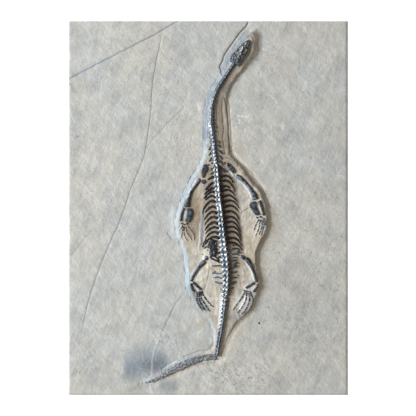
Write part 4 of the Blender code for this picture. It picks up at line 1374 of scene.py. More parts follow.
@dataclass
class VertebraRow:
    """A run of vertebrae: each a wide arch with a crest, swollen joint faces, and calcite in the joints.

    The line holds (x, y, width). Places across are from -1 at the left edge to 1 at the right edge. The calcite
    lies in two rows of spots, which are partly painted highlight on the joints and the crest, and between the
    spots the bone has a slate bloom. Over the left half, which faces the window, lies a faint pale film at the
    tail's tip and a painted highlight on the neck. These four change along the slab, as points (y, share).
    """

    relief: Relief
    name: str
    line: tuple[tuple[float, float, float], ...]
    pitch: float
    height: float
    finish: BoneFinish
    crest: float = 0.58
    crest_share: float = 0.34
    left_place: float = -0.62
    left_base: float = 0.0
    right_base: float = 0.2
    spot_width: float = 0.38
    calcite_and_highlight_left: Line = ((0, 0.0),)
    calcite_and_highlight_right: Line = ((0, 0.0),)
    bloom_and_sheen: Line = ((0, 0.8),)
    pale_film_and_highlight: Line = ((0, 0.0),)
    joint_width: float = 0.86
    zigzag: float = 0.0
    side_ribs: tuple[Fragment, ...] = ()
    wear: float = 0.12
    flecks: float = 0.0
    samples: int = 12
    columns: int = 33

    def arch(self, joint: Array, across: Array) -> Array:
        """The height over the stone as a share of the row's height.

        Args:
            joint: 0 in the middle of a vertebra and 1 at a joint.
            across: From -1 at the left edge to 1 at the right edge.

        Returns:
            Shares of the height.
        """
        side = np.abs(across)
        body = (1 - side**5) ** 0.7 * (0.66 - 0.06 * joint**2)
        crest = bell(across - self.crest, 0.26) * self.crest_share * (1 - 0.25 * joint**2)
        valley = bell(across - self.crest + 0.5, 0.22) * 0.1
        knobs = bell(side - 0.66, 0.2) * bell(joint - 1, 0.5) * 0.12
        cleft = bell(joint - 1, 0.1) * 0.07
        return np.clip(body + crest + knobs - valley - cleft, 0, None)

    def spots(self, joint: Array, across: Array, y: Array) -> dict[Tint, Array]:
        """The calcite spots and the bloom between them.

        Args:
            joint: As for arch, for each point.
            across: As for arch, for each point.
            y: Each point's place along the slab.

        Returns:
            The share of each tint at each point.
        """
        at_joint = ease(joint, 0.2, 0.75)
        # Both rows of spots are calcite in the joints and partly painted highlight on the joints and the crest
        left = (
            bell(across - self.left_place, self.spot_width)
            * (self.left_base + (1 - self.left_base) * at_joint)
        )
        right = (
            bell(across - self.crest, self.spot_width)
            * (self.right_base + (1 - self.right_base) * at_joint)
        )
        patches = ease(np.abs(across), 0.9, 0.7) * (1 - bell(across - 0.05, 0.27))
        calcite_and_highlight = left * read_off(self.calcite_and_highlight_left, y) + right * read_off(self.calcite_and_highlight_right, y)
        # A faint pale film at the tail's tip and painted highlight on the neck, over the left half, which faces
        # the window
        pale_film_and_highlight = ease(-across, -0.15, 0.35) * read_off(self.pale_film_and_highlight, y)
        return {Tint.PALE: ease(calcite_and_highlight, 0.28, 0.82) + pale_film_and_highlight, Tint.SLATE: patches * read_off(self.bloom_and_sheen, y)}

    def build(self) -> None:
        """Makes the row and the side ribs that grow from it."""
        path = smooth_path(self.line, self.pitch / self.samples)
        run = np.concatenate([[0], np.cumsum(np.linalg.norm(np.diff(path[:, :2], axis=0), axis=1))])
        phase = run / self.pitch
        joint = np.abs(phase % 1 - 0.5) * 2
        across = np.sin(np.linspace(-1, 1, self.columns) * 1.35) / math.sin(1.35)
        swell = self.joint_width + (1 - self.joint_width) * (1 - joint**2)
        blunt = np.sqrt(np.clip(np.minimum(run, run[-1] - run) / (self.pitch * 0.2), 0.2, 1))
        half = path[:, 2] / 2 * swell * blunt
        ground = self.relief.bed(path[:, :2])
        # Rows run from head to tail, so the slab's left is on the path's right
        tops = (
            ground[:, None] + LIFT
            + self.arch(joint[:, None], -across[None, :]) * self.height * blunt[:, None]
        )
        shape = ridge(path, half, half, across, tops, ground - 0.6)
        wide = np.pad(across, 1, mode="edge")
        flaw = rough(shape.points, 0.9, 21.0)
        bend = np.repeat(self.zigzag * np.sin(2 * math.pi * phase), len(wide))
        sway = bend - np.tile(wide, len(path)) + rough(shape.points, 1.7, 22.0) * 0.5
        uneven = np.repeat(joint, len(wide)) + rough(shape.points, 1.3, 27.0) * 0.6
        tints = self.spots(uneven, sway, shape.points[:, 1])
        shape.tints = {tint: share * np.clip(1 + flaw * 0.6, 0, 1.3) for tint, share in tints.items()}
        shape.tints[Tint.PALE] += ease(rough(shape.points, 1.1, 24.0), 0.12, 0.5) * self.flecks
        shape.points[:, :2] += drift(shape.points, 1.8, 25.0) * self.wear * 1.5
        shape.points[:, 2] += (rough(shape.points, 0.7, 20.0) + rough(shape.points, 1.6, 23.0)) * self.wear
        for fragment in self.side_ribs:
            shape = shape.joined(fragment.shape(self.relief))
        shape.piece(self.name, [self.finish.material()], (self.name,), Slot.BONE)


@dataclass(frozen=True)
class Opening:
    """A hollow in the skull's roof, filled with tan or bright stone. A deep one's right rim has a painted
    highlight.
    """

    centre: Point
    half_length: float
    half_width: float
    depth: float = 0.8
    fill: float = 0.85
    bright: float = 0.0


@dataclass
class Skull:
    """The skull from above: a low dome with eye sockets, nostrils, a midline bar and rear openings."""

    relief: Relief
    back: Point = (18.9, 100.2)
    snout: Point = (29.0, 117.5)
    stations: tuple[tuple[float, float, float, float], ...] = (
        (0, 4.2, 3, 1.7), (1.6, 5, 3.3, 2.3), (4.5, 5.3, 3.4, 2.8), (7.6, 4.9, 3.5, 2.9),
        (10.6, 4.2, 3.4, 2.8), (13.6, 3.6, 2.9, 2.4), (16.4, 2.6, 2.2, 2), (18.4, 1.6, 1.4, 1.6),
        (19.6, 0.8, 0.7, 1.2),
    )
    openings: tuple[Opening, ...] = (
        Opening((22.3, 111.1), 2.3, 1.25, 0.8, 0.5), Opening((25.4, 109.3), 2.3, 1.05, 0.7),
        Opening((25.9, 114.6), 1.9, 0.5, 0.5, 0.85, 0.7), Opening((27.5, 114.1), 1.7, 0.5, 0.5, 0.85, 0.7),
        Opening((22.3, 107.6), 0.75, 0.55, 0.4, 0.85, 0.6),
        Opening((18.5, 104.9), 1.3, 0.8, 0.6, 0.5), Opening((19.8, 102.9), 0.9, 0.55, 0.5, 0.5),
        Opening((22.8, 103.4), 1.1, 0.5, 0.5, 0.6), Opening((25, 105.2), 1.5, 0.5, 0.5, 0.8, 0.5),
        Opening((22.7, 100.9), 0.55, 0.4, 0.3, 0.7), Opening((18.7, 100.5), 0.7, 0.5, 0.3, 0.6),
        Opening((21.2, 99.8), 0.7, 0.4, 0.3, 0.6), Opening((16.6, 104.4), 0.8, 0.35, 0.3, 0.5),
    )
    bar_line: Line = ((26.9, 114.8), (24.8, 111.9), (23.5, 109.2), (21.6, 105.6), (20.4, 101.5))
    flattened: float = 0.82
    rim_depth: float = 0.7
    grain: float = 0.2
    columns: int = 45

    def build(self) -> None:
        """Makes the skull."""
        back, snout = np.array(self.back), np.array(self.snout)
        axis = (snout - back) / np.linalg.norm(snout - back)
        stations = smooth_path(tuple((run, 0, *rest) for run, *rest in self.stations), self.grain)
        path = back + axis * stations[:, :1]
        left, right, height = stations[:, 2], stations[:, 3], stations[:, 4]
        across = np.sin(np.linspace(-1, 1, self.columns) * 1.45) / math.sin(1.45)
        ground = self.relief.bed(path)
        blunt = np.sqrt(np.clip((stations[:, 0] - stations[0, 0]) / 0.8, 0.2, 1))
        blunt *= np.sqrt(np.clip((stations[-1, 0] - stations[:, 0]) / 0.5, 0.2, 1))
        dome = (1 - np.abs(across) ** 2.8) ** 0.75
        tops = ground[:, None] + LIFT + dome * (height * blunt * self.flattened)[:, None]
        shape = ridge(path, left, right, across, tops, ground - 0.8)
        flat = shape.points[:, :2]
        pale, lowered, bright_fill_and_rim_highlight = np.zeros((3, len(flat)))
        for opening in self.openings:
            offset = flat - opening.centre
            along = offset @ axis / opening.half_length
            aside = (offset @ np.array((axis[1], -axis[0]))) / opening.half_width
            round_about = np.hypot(along, aside)
            hollow = ease(round_about, 1.12, 0.72)
            lowered += hollow * opening.depth - bell(round_about - 1.25, 0.22) * 0.22
            pale = np.maximum(pale, ease(round_about, 1.02, 0.7) * opening.fill)
            bright_fill_and_rim_highlight = np.maximum(bright_fill_and_rim_highlight, ease(round_about, 1.02, 0.6) * opening.bright)
            # A deep hollow's right rim faces the window and gets a painted highlight
            if opening.depth > self.rim_depth:
                bright_fill_and_rim_highlight = np.maximum(bright_fill_and_rim_highlight, bell(round_about - 1.05, 0.16) * ease(aside, 0.2, 0.9))
        middle = bell(np.minimum(line_distance(flat, smooth_path(self.bar_line, 0.8), 3.0)[0], 9), 0.6)
        inner = (
            np.pad(np.ones((len(path), len(across))), ((0, 0), (1, 1))).ravel()
            * np.repeat(blunt, len(across) + 2)
        )
        relief = (
            -lowered + middle * 0.3 + rough(shape.points, 1.1, 30.0) * 0.2
            + rough(shape.points, 0.5, 31.0) * 0.1
        )
        shape.points[:, 2] += relief * inner
        pale *= inner * np.clip(0.9 + rough(flat, 0.8, 33.0) * 0.6, 0, 1)
        shape.tints = {
            Tint.PALE: pale * 0.05 + bright_fill_and_rim_highlight * 0.75 * inner,
            Tint.TAN: pale * 0.62,
            Tint.SLATE: np.clip(rough(flat, 1.1, 34.0) * 2.0 + 0.25, 0, 1) * inner,
        }
        shape.piece("skull_roof", [SKULL_BONE.material()], ("skull",), Slot.BONE)


@dataclass
class FrameBone:
    """A bone that keeps its CAD solid's form, with its edges rounded and a fibrous surface.

    The taper is how much it swells at a distance from the midline. Its sides that face the window and up carry a
    painted sheen in slate, and above a place along y a painted highlight.
    """

    relief: Relief
    node: str
    finish: BoneFinish
    bloom_and_sheen: float = 0.6
    painted_highlight: float = 0.12
    painted_highlight_above: float = -200.0
    grain: float = 0.2
    rounds: int = 4
    swell: float = 0.1
    fibre: float = 0.07
    sink: float = 0.3
    flatness: float = 1.0
    taper: Line = ((0, 0.0),)

    def rounded(self) -> tuple[Array, Array, Faces]:
        """The CAD solid's surface as an even fine mesh with its edges smoothed.

        Returns:
            Its points in millimetres, their outward directions and its faces.
        """
        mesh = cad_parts[self.node].data.copy()
        mesh.transform(Matrix.Scale(1 / MM, 4))
        made = bpy.data.objects.new("rounding", mesh)
        bpy.context.scene.collection.objects.link(made)
        remesh = made.modifiers.new("even", "REMESH")
        remesh.mode = "VOXEL"
        remesh.voxel_size = self.grain
        smooth = made.modifiers.new("round", "SMOOTH")
        smooth.iterations = self.rounds
        final = made.evaluated_get(bpy.context.evaluated_depsgraph_get()).to_mesh()
        points = np.array([vertex.co for vertex in final.vertices])
        outward = np.array([vertex.normal for vertex in final.vertices])
        faces = [tuple(face.vertices) for face in final.polygons]
        bpy.data.objects.remove(made, do_unlink=True)
        return points, outward, faces

    def shape(self) -> Shape:
        """The bone with its foot sunk into the stone.

        Returns:
            The bone with its tints.
        """
        points, outward, faces = self.rounded()
        texture = rough(points, 1.0, 40.0) * self.fibre + rough(points, 0.4, 41.0) * self.fibre * 0.5
        taper = read_off(self.taper, np.abs(self.relief.to_right(points))) + rough(points, 2.2, 43.0) * 0.15
        points += outward * (texture + self.swell + taper)[:, None]
        points[:, 2] -= np.clip(points[:, 2] - self.relief.bed(points[:, :2]), 0, None) * (1 - self.flatness)
        low, high = points[:, 2].min(), points[:, 2].max()
        foot = ease(points[:, 2], low + 0.45 * (high - low), low)
        ground = self.relief.bed(points[:, :2]) - self.sink
        points[:, 2] += np.minimum(ground - points[:, 2], 0) * foot
        blotch = rough(points, 1.6, 42.0)
        # Painted sheen and highlight: slate and pale on the sides that face the window and on the tops, blotched
        lit = ease(-outward[:, 0], -0.1, 0.8) * np.clip(0.9 + blotch * 0.7, 0, 1.2)
        back = ease(outward[:, 2], 0.75, 0.98) * np.clip(0.5 + blotch * 1.6, 0, 1)
        painted_highlighted = ease(points[:, 1], self.painted_highlight_above - 3, self.painted_highlight_above + 3)
        slate = (lit * (0.15 + 0.85 * painted_highlighted) + back * 0.8) * self.bloom_and_sheen
        return Shape(points, faces, {Tint.SLATE: slate, Tint.PALE: (lit + back * 0.3) * self.painted_highlight * painted_highlighted})

    def build(self) -> None:
        """Makes the bone a piece."""
        self.shape().piece(f"{self.node}_bone", [self.finish.material()], (self.node,), Slot.BONE)


@dataclass
class LimbEnd:
    """A hand or foot: single finger or toe bones in rows, with the wrist or ankle bones at their root."""

    relief: Relief
    node: str
    knuckles: tuple[tuple[float, float, float, float], ...]
    digits: tuple[Line, ...]
    width: float = 1.0
    tan: float = 0.0
    bloom_and_sheen: float = 0.3
    height: float = 0.7
    knuckle_height: float = 0.9
    bone_length: float = 3.3
    gap: float = 0.03

    def build(self) -> None:
        """Makes every small bone and joins them as one piece."""
        shape: Shape | None = None
        for x, y, length, width in self.knuckles:
            line = ((x - length / 2, y + length * 0.15), (x, y), (x + length / 2, y - length * 0.1))
            widths = ((0, width * 0.8), (0.5, width), (1, width * 0.8))
            pebble = bar(self.relief, line, widths, ((0, self.knuckle_height),), 0.2)
            shape = shape.joined(pebble) if shape else pebble
        for digit in self.digits:
            path = smooth_path(digit, 0.25)[:, :2]
            length = np.linalg.norm(np.diff(path, axis=0), axis=1).sum()
            count = max(1, round(length / self.bone_length))
            at = np.linspace(0, 1, len(path))
            for i in range(count):
                start = (i + self.gap / self.bone_length * (i > 0)) / count
                part = path[(at >= start - 1e-9) & (at <= (i + 1) / count + 1e-9)]
                taper = 1 - 0.28 * i / count
                width, height = self.width * taper, self.height * taper
                widths = ((0, width), (0.25, width * 0.8), (0.75, width * 0.75), (1, width * 0.92))
                phalanx = bar(self.relief, part, widths, ((0, height), (0.5, height * 0.8), (1, height)))
                phalanx.tints = {
                    Tint.SLATE: np.clip(rough(phalanx.points, 2.0, 60.0) + self.bloom_and_sheen, 0, 1),
                    Tint.TAN: (
                        np.clip(rough(phalanx.points, 2.4, 61.0) * 0.6 + self.tan, 0, 0.8)
                        * (self.tan > 0)
                    ),
                }
                shape = shape.joined(phalanx)
        shape.piece(f"{self.node}_bones", [LIMB_BONE.material()], (self.node,), Slot.BONE)


@dataclass
class Limb:
    """A limb: its girdle and long bones from the frame, and its hand or foot.

    Each bone comes with the strength of its slate bloom and painted sheen, of its painted highlight and maybe
    where the highlight starts, and the digits with their width, tan and bloom.
    """

    relief: Relief
    bones: tuple[tuple[str | float, ...], ...]
    end: str
    knuckles: tuple[tuple[float, float, float, float], ...]
    digits: tuple[Line, ...]
    digit_looks: tuple[float, float, float] = (1.0, 0.0, 0.3)

    def build(self) -> None:
        """Makes the limb's bones."""
        for node, *look in self.bones:
            FrameBone(self.relief, node, LIMB_BONE, *look, swell=0.28, flatness=0.6).build()
        LimbEnd(self.relief, self.end, self.knuckles, self.digits, *self.digit_looks).build()


@dataclass
class RibCage:
    """The trunk's ribs on both sides and the dark lump of crushed bone low on the left."""

    relief: Relief
    swell: float = 0.2
    taper: Line = ((3, 0.22), (6, 0.1), (9, -0.04), (12, -0.2), (16, -0.3))

    def build(self) -> None:
        """Makes each rib as its own piece."""
        for node in sorted(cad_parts):
            if "_rib_" in node:
                FrameBone(
                    self.relief, node, RIB_BONE, 0.2, 0.0, grain=0.17, rounds=3, swell=self.swell, fibre=0.06,
                    flatness=0.85, taper=self.taper,
                ).build()
        lump = FrameBone(self.relief, "gut_mass", GUT_BONE, rounds=2, swell=0.05, fibre=0.65, flatness=0.9)
        crushed = lump.shape()
        lumps = rough(crushed.points, 1.3, 44.0)
        crushed.tints[Tint.SLATE] = ease(lumps, 0.15, 0.45) * 0.6
        crushed.tints[Tint.TAN] = ease(rough(crushed.points, 1.7, 45.0), 0.3, 0.5) * 0.8
        for fragment in CRUSHED_BONE + RIB_HEADS:
            crushed = crushed.joined(fragment.shape(self.relief))
        crushed.piece("gut_mass_bone", [GUT_BONE.material()], ("gut_mass",), Slot.BONE)


NECK_LINE = (
    (18.6, 101.5, 3), (15.8, 97.4, 3.2), (12.9, 93, 3.4), (10.3, 89, 3.5), (7.6, 85, 3.6), (5.2, 80, 3.5),
    (3.5, 75, 3.6), (2.5, 70, 3.6), (2, 65, 3.7), (2, 60, 3.9), (2.5, 55, 4), (2.9, 50, 4.1), (3.5, 45, 4),
    (4, 40, 3.8), (4.5, 35, 3.7), (4.95, 31, 3.7),
)
BACK_LINE = (
    (5, 30.8, 3.7), (5.5, 26, 3.8), (6.1, 18, 3.9), (6.9, 8, 4), (7.6, 2, 4), (8.3, -3, 4.1), (9, -10, 4.2),
    (9.7, -18, 4.5), (10.5, -26, 5.4), (11.2, -32, 5.9), (12.1, -40, 5.2), (12.4, -48, 4.8), (12.2, -56, 4.4),
    (11.7, -61.2, 4.3),
)
TAIL_LINE = (
    (11.65, -61.4, 4.2), (11.2, -66, 4.2), (10.6, -73, 3.8), (9.8, -80, 3.1), (8.8, -85, 3.6),
    (8.1, -90, 3.3), (7.2, -95, 3.2), (6.4, -100, 3.1), (5.8, -103.6, 3),
)
TAIL_END_LINE = (
    (5.6, -104.3, 3.4), (1, -104.3, 4), (-4, -105, 4.3), (-10, -106.8, 4.7), (-16, -109.2, 5.1),
    (-22, -111.9, 4.9), (-28, -115, 4), (-33, -117.8, 3), (-38, -120.3, 2.4), (-44.5, -122.2, 1.1),
)
NECK_RIBS: tuple[Fragment, ...] = fragments(
    (((2.4, 43.2), (1.2, 42), (0.3, 40.2)), 1.1, 1.4), (((2.9, 39.8), (1.6, 38.4), (0.2, 36.6)), 1.2, 1.4),
    (((2.8, 35.6), (1.5, 34.2), (0.4, 32.3)), 1.1, 1.4, 0.6), (((2.8, 32), (2.1, 30.6)), 0.9),
    (((0.1, 30.8), (0.5, 29.6)), 0.7), (((1.6, 47), (1.1, 45.6)), 0.9, 1.2, 0.6),
    (((1.2, 50), (0.8, 48.4)), 0.9, 1.2, 0.6), (((0.9, 53.2), (0.6, 51.8)), 0.8, 1.1, 0.6),
    (((3.1, 72.4), (4.4, 71.2)), 0.9), (((3.2, 69.9), (4.5, 68.7)), 0.9), (((3.1, 67.3), (4.3, 66.2)), 0.9),
    (((3.2, 64.9), (4.3, 63.9)), 0.9), (((3.4, 62.4), (4.5, 61.2)), 0.9), (((3.7, 59.8), (4.8, 58.4)), 0.9),
    (((4.6, 57.2), (5.6, 56)), 0.7), (((4.9, 54), (6, 52.8)), 0.9), (((6.2, 47.2), (8.2, 45.2)), 0.9),
    (((6.4, 44.6), (8.7, 42.2)), 1.1), (((7.2, 40.6), (8.8, 39), (9.8, 37.6)), 1.4, 1.5),
    (((7.4, 36.8), (8.9, 35.4), (9.7, 33.8)), 1.5, 1.4), (((6.6, 34.4), (8.8, 32), (10.4, 29.7)), 1.2, 1.5),
    (((11.4, 32.4), (11.6, 30.4)), 0.8),
)
HIP_RIBS: tuple[Fragment, ...] = fragments(
    (((2.8, 28), (1.2, 25.8)), 1), (((3.2, 25.2), (1.3, 23.1)), 0.8),
    (((8.6, 29), (10.8, 27.2), (13.1, 24.9)), 1), (((8.2, 28), (10.2, 26.2), (11.6, 24.7)), 1),
    (((9.6, -40.3), (5, -40.4), (2.1, -40.6)), 1.2),
    (((9.6, -45.5), (6.4, -45.7), (4, -45.5)), 1.1, 0.9, 0.8),
    (((5.3, -44.2), (3.6, -45.2), (2.3, -46.1)), 1, 0.9, 0.6),
    (((9.8, -49.2), (6.4, -48.3), (3.3, -48.7)), 1.3, 1.1, 0.8),
    (((9.8, -52.8), (7, -52.2), (4.4, -51.5)), 1.5, 1.2, 0.8), (((9.2, -57.2), (8.3, -56.4)), 1, 0.9, 0.5),
    (((16.8, -26), (18, -26)), 1.2), (((18.4, -26), (20.3, -25.8)), 1, 1),
    (((15.4, -29.4), (18.3, -28.1), (21.2, -28.1)), 1, 1.3), (((21.2, -28.2), (21, -30.2)), 0.9),
    (((19.8, -30.8), (21.2, -31.1), (22.6, -30.9)), 1.5, 1.3),
    (((16.2, -32.4), (18.8, -32), (21.5, -33.1)), 1.1, 1.2),
    (((17.2, -34.5), (18.8, -34.7), (20.6, -34.5)), 0.9, 1),
    (((16, -37), (18, -36.8), (20.4, -36.1)), 1.1, 1.1),
    (((17.9, -40.8), (18.6, -39.2), (19.8, -37.7)), 1, 1.2), (((19.5, -37.6), (21.4, -38.8)), 0.8, 1),
    (((15, -42.3), (17.5, -41.4), (20.4, -40.2)), 1.3, 1.4),
    (((16, -45.4), (18, -44.9), (20.1, -44.3)), 1.4, 1.2), (((20, -46.5), (21.5, -47.3)), 0.6, 0.7),
    (((16, -49.1), (17.8, -48.5), (20.2, -48.4)), 1.4, 1.2),
    (((16.2, -53), (17.9, -52.1), (19.4, -51.2)), 1.5, 1.2), (((16, -56.6), (17.9, -55.3)), 1, 0.9),
)
CRUSHED_BONE: tuple[Fragment, ...] = fragments(
    (((0.5, -21.3), (3, -22.4), (5.9, -23.2)), 1.4, 2.3),
    (((0.2, -23.5), (2.4, -24), (4.8, -24.3)), 1.1, 2.4, 0.5),
    (((-0.4, -25.8), (2, -25.1), (5.2, -23.8)), 1.2, 2.4),
    (((0, -27.7), (3, -27), (6, -26.2)), 1.2, 2.3, 0.4),
    (((1.2, -29.8), (4, -28.8), (6.8, -28.9)), 1.3, 2.4),
    (((1.8, -31.3), (4.5, -31.6), (6.5, -30.4)), 1.2, 2.2, 0.3),
    (((0.7, -32.2), (3.2, -33), (5.8, -32.4)), 1.2, 2), (((3.8, -33.6), (6.3, -35.1), (7.3, -37.6)), 1, 1.6),
    (((1.9, -35.2), (4.8, -36.3), (8.3, -38.2)), 1.5, 1.6, 0.4), (((1.5, -33.2), (1.8, -35)), 1, 1.3),
    (((0.6, -21.6), (-0.8, -23.4), (-2.5, -25.6)), 0.8, 1.1),
    (((0.9, -25.8), (-1, -26.8), (-2.9, -28.3)), 0.9, 1.1),
    (((-3.3, -24.4), (-3.7, -26), (-4.1, -27.7)), 0.5, 0.8, 0.5), (((-1.5, -21.4), (-3.3, -25)), 0.7, 0.9),
    (((-0.5, -29), (-0.2, -29.8)), 1, 1.2), (((6.8, -31.2), (8.2, -31.2)), 1.7, 1.8),
    (((7.1, -34.3), (8.5, -34.1)), 1.7, 1.6), (((-4.2, -32.6), (-3.6, -31.9)), 0.7, 0.7),
)
RIB_HEADS: tuple[Fragment, ...] = fragments(
    (((11.3, 4.5), (13.4, 5)), 1.7, 1.5), (((11.6, 0.8), (13.8, 1.3)), 1.9, 1.5),
    (((12, -2.9), (14, -2.6)), 1.8, 1.5), (((12.6, -6.8), (14.6, -6.4)), 1.7, 1.5),
    (((12.8, -10), (14.8, -9.8)), 1.7, 1.5), (((13, -13.4), (14.8, -13.2)), 2, 1.6),
    (((13.6, -17), (15.6, -16.7)), 1.6, 1.4), (((14.2, -20.8), (16, -20.5)), 1.4, 1.3),
    (((14.4, -24.4), (16.2, -24.1)), 1.4, 1.3), (((11, 8), (12.8, 8.3)), 1.5, 1.4),
    (((10, 12), (13, 12.6)), 2, 1.5), (((2.6, 4.6), (4.6, 4.2)), 1.8, 1.5),
)


def spine_rows(relief: Relief) -> tuple[VertebraRow, ...]:
    """The four runs of vertebrae from the head to the tail's tip.

    Args:
        relief: The stone that the bones lie on.

    Returns:
        The neck, the back, the tail and the tail's end.
    """
    neck = VertebraRow(
        relief, "neck_vertebrae", NECK_LINE, 2.55, 2.0, SPINE_BONE, crest=0.1, crest_share=0.2,
        left_place=-0.6,
        right_base=0.3, side_ribs=NECK_RIBS, zigzag=0.1,
        calcite_and_highlight_left=((90, 0.0), (64, 0.2), (58, 0.95), (52, 0.7), (46, 0.3), (31, 0.4)),
        calcite_and_highlight_right=((57, 0.0), (50, 0.65), (46, 0.95), (31, 1.0)),
        bloom_and_sheen=((100, 0.15), (85, 0.25), (75, 0.6), (62, 1.1), (31, 1.1)),
        pale_film_and_highlight=((100, 0.15), (84, 0.12), (74, 0.32), (62, 0.28), (50, 0.1), (31, 0)),
    )
    back = VertebraRow(
        relief, "back_vertebrae", BACK_LINE, 3.5, 3.0, SPINE_BONE, side_ribs=HIP_RIBS,
        calcite_and_highlight_left=((31, 0.95), (-20, 1.05), (-30, 0.9), (-60, 1.2)),
        calcite_and_highlight_right=((31, 1.25), (-3, 1.25), (-8, 0.9), (-34, 0.85), (-60, 1.0)),
        bloom_and_sheen=((31, 0.75), (-12, 0.8), (-24, 1.2), (-60, 1.0)), left_base=0.05, right_base=0.5, zigzag=0.3,
    )
    tail = VertebraRow(
        relief, "tail_vertebrae", TAIL_LINE, 2.8, 2.4, SPINE_BONE, crest=0.35, crest_share=0.2,
        left_place=-0.8, left_base=0.5, right_base=0.3, zigzag=0.38, spot_width=0.4, wear=0.2, flecks=0.22,
        calcite_and_highlight_left=((-61, 1.3), (-82, 1.2), (-88, 0.2)),
        calcite_and_highlight_right=((-61, 1.0), (-70, 0.7), (-78, 0.2), (-87, 0.0)),
        bloom_and_sheen=((-61, 0.7), (-84, 0.8), (-103, 0.9)),
    )
    tip = VertebraRow(
        relief, "tail_end", TAIL_END_LINE, 2.6, 0.85, TAIL_BONE, crest=0.2, crest_share=0.04, wear=0.4,
        joint_width=0.95, flecks=0.42, calcite_and_highlight_left=((0, 0.12),), calcite_and_highlight_right=((0, 0.1),),
        bloom_and_sheen=((-122, 0.9), (-112, 0.8), (-104, 0.4)), pale_film_and_highlight=((-122, 0.35), (-110, 0.15), (-104, 0)),
    )
    return neck, back, tail, tip


def limbs(relief: Relief) -> tuple[Limb, ...]:
    """The four limbs, with each wrist or ankle bone as (x, y, length, width).

    Args:
        relief: The stone that the bones lie on.

    Returns:
        The left and right forelimb, then the left and right hindlimb.
    """
    return (
        Limb(
            relief,
            (("left_scapula", 0.3, 0), ("left_coracoid", 0.3, 0), ("left_humerus", 0.6, 0.5, 7.0),
             ("left_radius", 0.9, 0.05), ("left_ulna", 0.6, 0.04)),
            "left_hand",
            ((-18, -11, 1.5, 1.1), (-16.6, -11.5, 1.3, 1.1), (-14.6, -11, 1.4, 1.3), (-16.4, -13.4, 1.4, 1),
             (-18, -13.2, 1.1, 0.9)),
            (((-15, -12), (-13.5, -13.4), (-12, -15.5), (-10.7, -17.3), (-9.7, -20), (-9.8, -22.5)),
             ((-15.5, -13.2), (-15.2, -16.2), (-14.1, -18.4), (-12.6, -20.2), (-11.3, -22.6)),
             ((-16.6, -13.2), (-16.9, -16.8), (-16.6, -19.5), (-15.7, -21.3), (-14.6, -22.8)),
             ((-17.4, -12.8), (-18, -16.2), (-18.4, -18.6), (-18.6, -20.3)),
             ((-17.8, -12), (-19.2, -14.6))),
            (0.95, 0.25, 0.0),
        ),
        Limb(
            relief,
            (("right_scapula", 0.6, 0.1), ("right_humerus", 1.3, 0.16), ("right_radius", 0.35, 0.0),
             ("right_ulna", 0.6, 0.03)),
            "right_hand",
            ((34.3, -6.7, 1.4, 1.4), (36.8, -6.2, 2, 1.3), (35.1, -8.4, 1.1, 1), (36.7, -8.7, 1.2, 1.1),
             (38.9, -7.5, 1.3, 1.1)),
            (((35.6, -8.4), (33.6, -11.1), (32.6, -13.6), (31.8, -15.7)),
             ((36.3, -8.6), (35.6, -12.8), (34.4, -16.5), (33, -19.7)),
             ((37.3, -8.6), (37.6, -12), (36.7, -15.6), (35.4, -18.8)),
             ((38.2, -8.4), (39.1, -11.2), (38.3, -14.6), (37.2, -18.2), (36.8, -19.3)),
             ((38.8, -8), (40.2, -10.4), (40.1, -12.4))),
            (0.95, 0.0, 0.6),
        ),
        Limb(
            relief,
            (("left_pelvis", 1.2, 0.8), ("left_femur", 1.5, 0.12), ("left_tibia", 0.2, 0),
             ("left_fibula", 0.2, 0)),
            "left_foot",
            ((-4.2, -58.4, 1.3, 1.1), (-5.9, -58.6, 1.4, 1.2), (-7.9, -59.1, 1.3, 1.1)),
            (((-4.8, -58.6), (-2.5, -62.3), (0.2, -65.8), (2.4, -68.1), (4.2, -69)),
             ((-5.4, -59), (-4.4, -63.8), (-2.2, -67), (-0.4, -69.9), (1.4, -72.4)),
             ((-6.4, -59.1), (-6, -64.6), (-4.2, -68.2), (-2.1, -71.4)),
             ((-7.4, -59.2), (-7.7, -64.6), (-5.9, -68.6), (-4, -70.8))),
            (1.75, 0.0, 0.05),
        ),
        Limb(
            relief,
            (("right_pelvis", 0.7, 0.1), ("right_femur", 0.4, 0.03), ("right_tibia", 1.1, 0.14),
             ("right_fibula", 1.0, 0.1)),
            "right_foot",
            ((25.4, -57.7, 1.3, 1.1), (27.2, -58.2, 1.5, 1.2), (29.2, -58.6, 1.3, 1.1)),
            (((26, -58.2), (23.6, -62.3), (20.5, -66.7), (17.4, -71.2)),
             ((27, -58.6), (26.2, -64.4), (23.9, -69), (20.5, -73.4)),
             ((28.2, -59), (28.8, -63.6), (27.6, -68.1), (25.4, -72), (23.1, -74.1)),
             ((29.2, -59.2), (31.2, -63.6), (30.4, -68.1), (28, -71.9))),
            (1.45, 0.0, 0.45),
        ),
    )


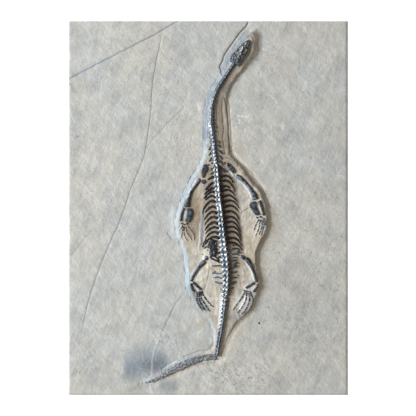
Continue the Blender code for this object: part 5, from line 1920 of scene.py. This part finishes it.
@dataclass(frozen=True)
class Studio:
    """The camera straight above the slab, a cool window to its left, a weak warm fill and a white floor."""

    face_height: float
    frame_width: float = 291.2
    lens: float = 250.0
    key_elevation: float = 36.0
    key_distance: float = 1800.0
    key_size: tuple[float, float] = (480.0, 800.0)
    key_power: float = 54.5
    key_colour: tuple[float, float, float] = (0.88, 0.945, 1.0)
    fill_strength: float = 0.26
    fill_colour: Colour = (1.0, 0.93, 0.84, 1)
    floor_size: float = 4000.0

    def camera(self) -> None:
        """Sets the camera, whose frame is as wide at the slab's face as the photo's."""
        data = bpy.data.cameras.new("camera")
        data.lens = self.lens
        data.clip_start = 0.01
        data.clip_end = 10.0
        camera = bpy.data.objects.new("camera", data)
        distance = self.frame_width * self.lens / data.sensor_width
        camera.location = (0, 0, (self.face_height + distance) * MM)
        bpy.context.scene.collection.objects.link(camera)
        bpy.context.scene.camera = camera

    def key(self) -> None:
        """Hangs the window light to the left, turned to the slab."""
        data = bpy.data.lights.new("window", "AREA")
        data.shape = "RECTANGLE"
        data.size, data.size_y = (side * MM for side in self.key_size)
        data.energy = self.key_power
        data.color = self.key_colour
        light = bpy.data.objects.new("window", data)
        angle = math.radians(self.key_elevation)
        place = Vector((-math.cos(angle), 0.12, math.sin(angle))) * self.key_distance * MM
        light.location = place
        light.rotation_euler = place.to_track_quat("Z", "Y").to_euler()
        bpy.context.scene.collection.objects.link(light)

    def surroundings(self) -> None:
        """Lights everything softly and lays the white floor."""
        world = bpy.data.worlds.new("studio")
        world.use_nodes = True
        background = world.node_tree.nodes["Background"]
        background.inputs["Color"].default_value = self.fill_colour
        background.inputs["Strength"].default_value = self.fill_strength
        bpy.context.scene.world = world
        graph = Graph("floor_paper")
        graph.dress(
            Base_Color=graph.mix(graph.cloud(300.0) * 0.02, (0.95, 0.95, 0.95, 1), (0.9, 0.9, 0.9, 1)),
            Roughness=0.9,
            Emission_Color=(1, 1, 1, 1),
            Emission_Strength=1.0,
        )
        bpy.ops.mesh.primitive_plane_add(size=self.floor_size * MM)
        floor = bpy.context.object
        floor.name = "floor"
        floor.data.materials.append(graph.material)

    def build(self) -> None:
        """Sets up the camera, the light and the floor."""
        bpy.context.scene.view_settings.view_transform = "Standard"
        self.camera()
        self.key()
        self.surroundings()


def main() -> None:
    """Builds the fossil, piece by piece."""
    logging.basicConfig(level=logging.INFO, format="%(message)s")
    relief = Relief()
    Slab(relief).build()
    Skull(relief).build()
    for row in spine_rows(relief):
        row.build()
    RibCage(relief).build()
    for limb in limbs(relief):
        limb.build()
    Studio(relief.thickness).build()


if __name__ == "__main__":
    main()
